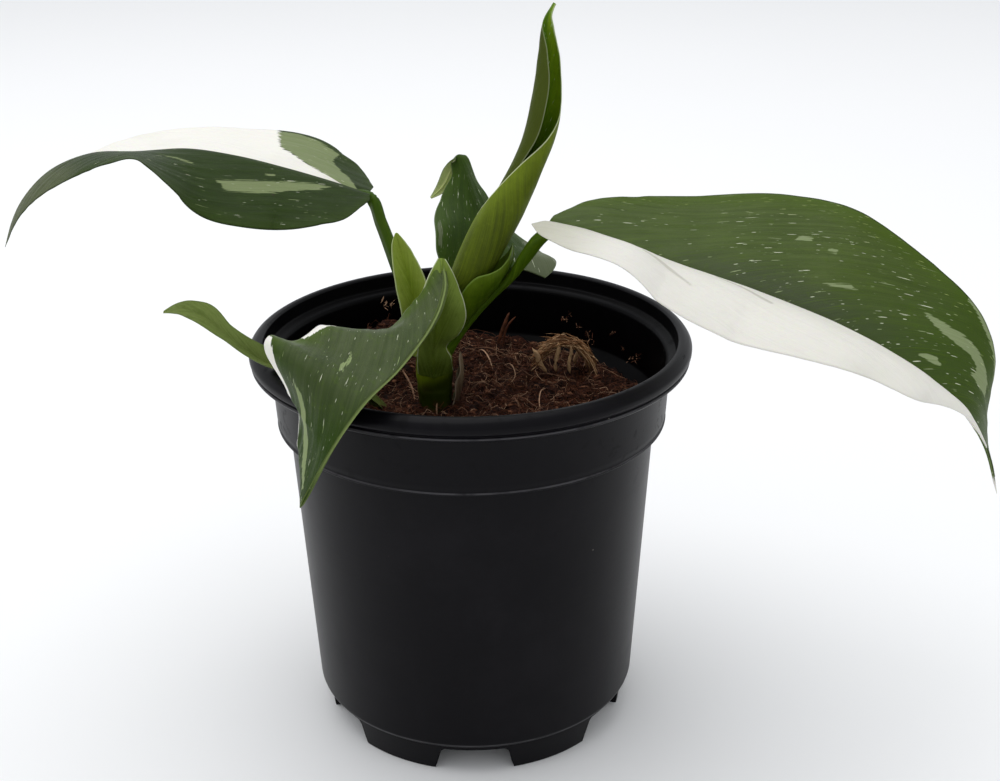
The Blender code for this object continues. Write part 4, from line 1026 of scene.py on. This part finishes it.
# The youngest leaf. Still rolled into a tube below and open above, so its veined underside shows in front
# and its flecked upper side in the opening. It stands on a short petiole inside the wings.
upright_blade = Blade([
    (-4.9, 2.0, 104.5, 3.4, 0, 120, 7.0, 0, 200),
    (-3.1, 2.8, 108.5, 5.9, 0, 160, 13.7, 0, 280),
    (-1.2, 4.0, 113.0, 9.2, 0, 170, 20.9, 0, 300),
    (3.0, 4.5, 122.2, 8.5, 0, 150, 24.3, 0, 296),
    (9.3, 4.6, 134.0, 8.0, 0, 140, 19.9, 0, 248),
    (14.1, 3.9, 143.0, 8.8, 0, 150, 13.5, 0, 213),
    (16.9, 3.5, 151.0, 10.2, 0, 175, 9.7, 0, 148),
    (18.2, 3.2, 157.5, 10.5, 0, 180, 5.9, 0, 95),
    (18.7, 2.0, 167.7, 7.5, 0, 180, 3.8, 0, 80),
    (18.5, 0.8, 174.4, 3.4, 0, 140, 1.8, 0, 50),
    (18.8, 0.0, 177.5, 0.9, 0, 60, 0.8, 0, 20),
    (20.1, -0.4, 180.2, 0.4, 0, 10, 0.4, 0, 10),
], face=(0, -1, 0.1))
upright_marks = ([], [], [[(0.40, 0.02), (1.0, 0.02), (1.0, 1.3), (0.45, 1.3)]])
# The inside of the roll is its own green, painted lighter still as painted light shining through the leaf.
upright_upper = leaf_finish("upright_leaf_upper", (0.070, 0.150, 0.002), (0.12, 0.21, 0.003), (0.20, 0.30, 0.012),
                            rim=(0.50, 0.55, 0.35), rim_left=0.2, flecks=0.9, fleck_size=0.9, lines=0.5)
upright_under = leaf_finish("upright_leaf_under", (0.058, 0.078, 0.008), (0.116, 0.162, 0.006),
                            (0.165, 0.225, 0.016), rim=(0.60, 0.64, 0.42), rim_share=0.8, rim_width=0.22,
                            rim_left=0.3, lines=0.55, rough=0.5, relief=0.10, rag=0.4)
upright_leaf = blade_piece("upright_leaf", upright_blade, [upright_upper, upright_under], 200, 120, rib=0.8,
                           marks=upright_marks, sweep=4.0, bend=0.0, quilt=0.04)
upright_stalk = stalk_piece("upright_petiole", [(-8.2, -1.5, 97), (-7.5, -0.2, 100), (-6.2, 1.4, 103),
                                                (-4.2, 2.7, 106.5)], [1.5, 1.4, 1.3, 0.8],
                            right_stalk_paint, rows=24)
grown("leaf_upright", upright_leaf, upright_stalk)


# The leaf behind. A broad dark blade that faces the front with its flecked upper side, its narrow tip
# turned back so that the pale underside shows.
back_blade = Blade([
    (5.5, 10.0, 114.5, 9.0, 18, -10, 12.6, 6, -10),
    (5.2, 11.8, 116.6, 12.5, 22, -10, 16.2, -8, -10),
    (4.4, 14.4, 119.3, 14.0, 28, -10, 15.6, -30, -10),
    (2.2, 19.0, 124.5, 12.5, 30, -10, 10.5, -47, -10),
    (0.0, 23.0, 131.1, 8.2, -7, -10, 6.4, -50, -10),
    (-1.6, 26.5, 136.3, 3.8, -28, -10, 3.4, -45, -10),
    (-3.1, 28.3, 138.6, 2.5, -20, -10, 2.3, -20, -10),
    (-5.1, 28.6, 134.6, 2.2, 0, -10, 2.1, 0, -10),
    (-7.2, 28.2, 130.4, 1.6, 0, -10, 1.5, 0, -10),
    (-10.2, 27.8, 127.6, 0.3, 0, -10, 0.3, 0, -10),
], face=[(0, -0.9, 0.45)] * 5 + [(0, -0.7, 0.7), (-0.3, 0.0, 1), (-0.5, 0.8, 0.1), (-0.4, 0.8, -0.4),
                                 (-0.4, 0.8, -0.5)], lobes=(3, 4), lobe_reach=0.2)
back_marks = (
    [],
    [[(0.17, 0.87), (0.25, 0.85), (0.36, 0.86), (0.34, 0.93), (0.2, 0.94)],
     [(-0.1, -0.55), (0.10, -0.62), (0.20, -0.8), (0.24, -1.3), (-0.1, -1.3)]],
    [],
)
back_upper = leaf_finish("back_leaf_upper", (0.016, 0.036, 0.0025), (0.029, 0.058, 0.004), (0.045, 0.085, 0.008),
                         pale=(0.110, 0.130, 0.070), rim=(0.20, 0.24, 0.13), rim_share=0.4, flecks=1.3,
                         fleck_size=0.9, fleck_white=0.65, cluster=0.3)
# The pale underside, painted lighter still as painted light shining through the thin leaf.
back_under = leaf_finish("back_leaf_under", (0.34, 0.40, 0.120), (0.42, 0.48, 0.170), (0.50, 0.55, 0.24),
                         rim=(0.45, 0.48, 0.32), rough=0.55)
back_leaf = blade_piece("back_leaf", back_blade, [back_upper, back_under], 170, 72, rib=0.9, marks=back_marks,
                        sweep=-3.5, bend=0.0)
back_stalk = stalk_piece("back_petiole", [(-8.5, 2.0, 94.5), (-7, 5.4, 99.5), (-2, 8.6, 105.5), (2.8, 10.2, 110),
                                          (5.5, 10.8, 114.5), (5.1, 12.6, 117)], [1.7, 1.6, 1.5, 1.4, 1.3, 0.8],
                         left_stalk_paint)
grown("leaf_back", back_leaf, back_stalk)


# The leaf in front. It is folded along its midrib, bent over at the top of its sheath and hung over the
# rim, with a white band on its far margin and a pale line along the fold.
front_blade = Blade([
    (-6.4, -5.0, 121.9, 1.4, -150, 0, 1.4, -4, -10),
    (-5.2, -12.5, 117.9, 7.0, -145, -10, 8.2, -11, -10),
    (-5.8, -17.0, 115.8, 10.5, -143, -14, 11.7, -13, -10),
    (-8.5, -29.0, 112.9, 17.0, -158, -14, 18.8, 3, -10),
    (-10.9, -35.6, 111.3, 20.5, -163, -14, 22.9, 13.5, -10),
    (-14.5, -43.3, 109.2, 23.0, -168, -14, 24.1, 15, -10),
    (-22.2, -56.7, 105.5, 23.5, -182, -4, 26.0, 24, -10),
    (-28.8, -58.6, 96.3, 18.0, -168, -4, 21.3, 2, -10),
    (-33.6, -56.5, 87.1, 10.0, -150, 0, 13.3, -2, -10),
    (-36.4, -55.1, 82.0, 0.5, -150, 0, 0.5, -7, -10),
], face=(-0.25, -0.52, 0.77))
front_marks = (
    [[(0.632, -1.3), (0.637, -0.97), (0.69, -0.885), (0.757, -0.87), (0.81, -0.89), (0.87, -0.93), (0.93, -0.95),
      (0.95, -1.3)],
     [(0.26, -1.3), (0.28, -0.97), (0.33, -0.91), (0.42, -0.915), (0.50, -0.965), (0.525, -1.3)]],
    [[(0.722, -0.66), (0.742, -0.57), (0.777, -0.53), (0.83, -0.50), (0.91, -0.36), (0.957, -0.26), (0.97, -0.42),
      (0.932, -0.52), (0.88, -0.62), (0.794, -0.62), (0.754, -0.64)],
     [(0.490, -0.50), (0.51, -0.47), (0.545, -0.425), (0.57, -0.43), (0.60, -0.375), (0.618, -0.33), (0.60, -0.335),
      (0.57, -0.375), (0.54, -0.39), (0.515, -0.44)]],
    [],
)
front_upper = leaf_finish("front_leaf_upper", (0.042, 0.060, 0.021), (0.076, 0.098, 0.042), (0.072, 0.122, 0.010),
                          pale=(0.24, 0.30, 0.13), midrib=(0.26, 0.33, 0.11), rim=(0.22, 0.25, 0.15),
                          rim_share=0.4, flecks=0.7, fleck_size=1.1, fleck_white=0.3, cluster=0.4,
                          tip=(0.016, 0.042, 0.0005), tip_zone=(0.60, 0.80), specular=0.06)
front_under = leaf_finish("front_leaf_under", (0.085, 0.120, 0.030), (0.125, 0.170, 0.050), (0.17, 0.22, 0.08),
                          rim=(0.45, 0.48, 0.32), rough=0.52)
front_leaf = blade_piece("front_leaf", front_blade, [front_upper, front_under], 200, 84, rib=0.8,
                         marks=front_marks, sweep=-3.0, bend=0.0, quilt=0.12)
front_sheath = Blade([
    (-9.0, -6.6, 92.5, 6.4, 0, 80, 4.6, 0, 56),
    (-9.0, -6.8, 96.5, 5.0, 0, 62, 4.4, 0, 50),
    (-8.8, -7.6, 100.0, 3.4, 0, 46, 4.2, 0, 45),
    (-8.3, -9.4, 104.0, 6.0, 0, 36, 4.4, 0, 45),
    (-7.9, -9.9, 108.0, 7.3, 0, 32, 4.5, 0, 42),
    (-7.6, -9.9, 112.0, 6.9, 0, 30, 4.5, 0, 40),
    (-6.9, -8.0, 118.0, 4.4, 0, 40, 3.0, 0, 30),
    (-6.4, -5.6, 122.2, 0.9, 0, 20, 1.0, 0, 20),
], face=(0, 1, 0.1))
# The sheath is painted dark towards its base: painted shade, matching the stem's.
front_sheath_paint = leaf_finish("front_sheath_green", (0.078, 0.122, 0.008), (0.125, 0.185, 0.018),
                                 (0.22, 0.30, 0.06), rim=(0.60, 0.64, 0.45), rim_share=0.85, rim_width=0.24,
                                 lines=0.6, rough=0.48, relief=0.09, tip=(0.032, 0.050, 0.001),
                                 tip_zone=(0.30, 0.05))
front_wrap = blade_piece("front_sheath", front_sheath, [front_sheath_paint] * 2, 70, 48, rib=0.9, rib_end=0.9,
                         sweep=3.0, bend=0.0)
grown("leaf_front", front_leaf, front_wrap)


# The small leaf low on the left. A slender yellow-green young blade, channelled, that climbs out of the mix
# and past the rim, with its tip held level.
small_blade = Blade([
    (-19.5, -5.0, 81.0, 1.2, 20, 30, 1.2, 20, 30),
    (-26.5, -9.5, 89.6, 2.2, 20, 30, 2.2, 20, 30),
    (-36.0, -17.5, 98.0, 3.0, 20, 30, 3.0, 20, 30),
    (-46.6, -24.0, 103.4, 3.8, 15, 30, 3.8, 15, 30),
    (-55.0, -26.0, 111.4, 2.6, 5, 20, 2.6, 5, 20),
    (-61.0, -25.0, 116.3, 3.2, 0, 10, 3.4, 0, 10),
    (-65.0, -24.5, 117.3, 2.4, 0, 0, 2.0, 0, 0),
    (-69.0, -24.0, 116.0, 0.4, 0, 0, 0.4, 0, 0),
], face=(0.1, -0.35, 0.9))
small_upper = leaf_finish("small_leaf_upper", (0.060, 0.090, 0.010), (0.125, 0.160, 0.036), (0.20, 0.26, 0.07),
                          rim=(0.12, 0.15, 0.06), rim_width=0.2, lines=0.8, relief=0.10)
small_leaf = blade_piece("small_left_leaf", small_blade, [small_upper] * 2, 120, 32, rib=0.6, sweep=4.0, bend=0.0)
small_foot = stalk_piece("small_foot", [(-10.2, -2.8, 77.0), (-14.5, -3.8, 78.0), (-19.5, -5.0, 80.8),
                                        (-26.0, -9.2, 89.6)], [1.6, 1.4, 1.2, 0.6], small_upper, rows=36)
grown("leaf_small_left", small_leaf, small_foot)


# The scale leaf left of the middle. A thin pale boat-shaped leaf that stood round a bud and has not
# yet dried, with lighter margins.
scale_blade = Blade([
    (-15.0, -3.4, 96.8, 2.8, 10, 40, 2.0, 10, 40),
    (-14.4, -3.2, 102.0, 4.2, 20, 55, 4.4, 20, 55),
    (-13.2, -3.0, 108.0, 5.0, 20, 50, 5.7, 20, 50),
    (-14.4, -2.0, 115.0, 4.8, 20, 45, 5.4, 20, 45),
    (-16.0, -1.5, 121.5, 3.5, 20, 45, 3.9, 20, 45),
    (-17.0, -1.5, 125.9, 2.0, 15, 60, 2.0, 15, 60),
    (-17.2, -1.7, 127.4, 0.5, 10, 60, 0.5, 10, 60),
], face=(0.1, -1, 0.1))
scale_paint = leaf_finish("scale_leaf_green", (0.145, 0.215, 0.012), (0.26, 0.35, 0.026), (0.36, 0.44, 0.09),
                          rim=(0.50, 0.56, 0.30), rim_share=0.7, rim_width=0.35, lines=0.6, relief=0.09)
scale_leaf = blade_piece("scale_leaf", scale_blade, [scale_paint] * 2, 90, 40, rib=0.5, sweep=4.0, bend=0.0)
fit(scale_leaf, "cataphyll")


# The old sheath. A papery pinkish strip, dried on, that clasps the right side of the stem.
old_blade = Blade([
    (-3.6, -2.6, 83.0, 2.1, 0, 80, 2.1, 0, 80),
    (-2.8, -2.8, 87.0, 2.3, 0, 80, 2.3, 0, 80),
    (-2.1, -3.0, 92.0, 2.1, 0, 70, 2.1, 0, 70),
    (-2.5, -3.0, 97.4, 0.9, 0, 20, 0.9, 0, 20),
], face=(-1, 0, 0.1), ripple=0.3, waves=2.0)
old_paint = leaf_finish("old_sheath_tan", (0.050, 0.032, 0.014), (0.150, 0.100, 0.055), (0.30, 0.22, 0.14),
                        rim=(0.42, 0.34, 0.25), lines=0.7, rough=0.7, relief=0.12, tip=(0.045, 0.020, 0.010),
                        tip_zone=(0.75, 0.25))
old_sheath = blade_piece("old_sheath", old_blade, [old_paint] * 2, 50, 32, rib=0.15, thick=0.3, sweep=4.0,
                         bend=0.0, quilt=0.2)
fit(old_sheath, "dry_sheath")


# The husk. A torn mat of coconut husk lying on the mix, its tan fibres still bound together in an arch,
# with splinters broken out of it.
HUSK_FIBRES = 260
SLIVERS = [((15.4, 17.0, 90.5), (19.4, 17.6, 83.0), 0.75), ((22.2, 18.2, 91.8), (21.6, 17.6, 83.0), 0.7),
           ((25.4, 18.6, 90.6), (25.2, 17.2, 83.0), 0.6), ((28.0, 21.4, 89.5), (26.8, 23.2, 83.0), 0.6)]


def husk_shape():
    """Fibres that each follow a piece of the arch, and the slivers."""
    shape = bmesh.new()
    layer = shape.verts.layers.float_vector.new("tone")
    arch = np.array([(16.2, 18.0, 83.5), (17.2, 19.0, 87.0), (19.6, 19.8, 90.2), (23.2, 20.6, 91.6),
                     (27.0, 20.4, 90.8), (29.8, 19.4, 87.6), (31.0, 18.6, 83.5)])
    knots = np.linspace(0.0, 1.0, len(arch))
    for _ in range(HUSK_FIBRES):
        start = draw.uniform(0.05, 0.8)
        end = min(1.0, start + draw.uniform(0.12, 0.34))
        line = smooth_line(knots, arch, np.clip(np.linspace(start, end, 8), 0, 1))
        shift = np.array([draw.gauss(0, 0.6), draw.gauss(0, 1.2), draw.gauss(-0.3, 0.6)])
        flare = np.array([draw.gauss(1.2, 1.6), draw.gauss(0, 1.8), draw.gauss(-1.2, 1.5)])
        parts = np.linspace(0.0, 1.0, 8)[:, None]
        route = [Vector(spot) for spot in line + shift + flare * (parts - 0.4)]
        strand(shape, layer, route, draw.uniform(0.06, 0.20), draw.uniform(0.1, 1.0) ** 1.3)
    for top, low, thick in SLIVERS:
        top, low = Vector(top), Vector(low)
        route = [top.lerp(low, step / 7) + Vector((0.3 * math.sin(step), 0.2 * math.cos(2 * step), 0.0))
                 for step in range(8)]
        strand(shape, layer, route, thick, 0.9, sides=6)
    return closed(shape)


husk_paint = coir_finish("husk_tan", (0.13, 0.055, 0.022), (0.40, 0.20, 0.085), (0.66, 0.42, 0.23), 0.8)
husk_tuft = new_piece("husk_tuft", husk_shape(), [husk_paint])
fit(husk_tuft, "coir_husk")


# The studio. A pale floor under one large soft light, a little behind the plant and to its left, in even
# light from all round. The camera stands where the photograph was taken, looking a little down.
floor_shape = bmesh.new()
bmesh.ops.create_grid(floor_shape, x_segments=1, y_segments=1, size=6.0)
floor_paint = Finish("floor_white", roughness=0.9, specular=0.1)
floor_tone = floor_paint.noise(floor_paint.place(), 3.0, 2.0)
floor_paint.colour = floor_paint.mix(floor_tone, (0.90, 0.90, 0.90), (0.92, 0.92, 0.92))
floor = new_piece("studio_floor", floor_shape, [floor_paint.done()])

lamp = bpy.data.lights.new("overhead", "AREA")
lamp.shape = "RECTANGLE"
lamp.size, lamp.size_y = 1.6, 1.2
lamp.energy = 9.6
holder = bpy.data.objects.new("overhead", lamp)
holder.location = (-0.25, 0.15, 1.3)
holder.rotation_mode = "QUATERNION"
holder.rotation_quaternion = (Vector((0.0, 0.0, 0.1)) - holder.location).to_track_quat("-Z", "Y")
bpy.context.collection.objects.link(holder)

world = bpy.data.worlds.new("studio")
bpy.context.scene.world = world
world.use_nodes = True
background = world.node_tree.nodes["Background"]
background.inputs["Color"].default_value = (0.95, 0.97, 1.0, 1.0)
background.inputs["Strength"].default_value = 0.79
bpy.context.scene.view_settings.view_transform = "Standard"

PITCH = math.radians(22.95)
ROLL = math.radians(-0.5)
RIM_MIDDLE = Vector((0.0, 0.0, 0.1015))
RIM_DISTANCE = 0.3673
# How far the rim's middle lies left of the camera's axis and above it, as shares of its distance.
RIM_LEFT = 29.3 / 1500
RIM_ABOVE = 58.6 / 1500
lens = bpy.data.cameras.new("camera")
lens.lens = 54.0
lens.sensor_width = 36.0
lens.clip_start = 0.01
camera = bpy.data.objects.new("camera", lens)
onward = Vector((0.0, math.cos(PITCH), -math.sin(PITCH)))
level = Vector((1.0, 0.0, 0.0))
upward = Vector((0.0, math.sin(PITCH), math.cos(PITCH)))
across = math.cos(ROLL) * level + math.sin(ROLL) * upward
upright = -math.sin(ROLL) * level + math.cos(ROLL) * upward
turn = Matrix((across, upright, -onward)).transposed()
camera.location = RIM_MIDDLE - RIM_DISTANCE * (onward - RIM_LEFT * across + RIM_ABOVE * upright)
camera.rotation_mode = "QUATERNION"
camera.rotation_quaternion = turn.to_quaternion()
bpy.context.collection.objects.link(camera)
bpy.context.scene.camera = camera
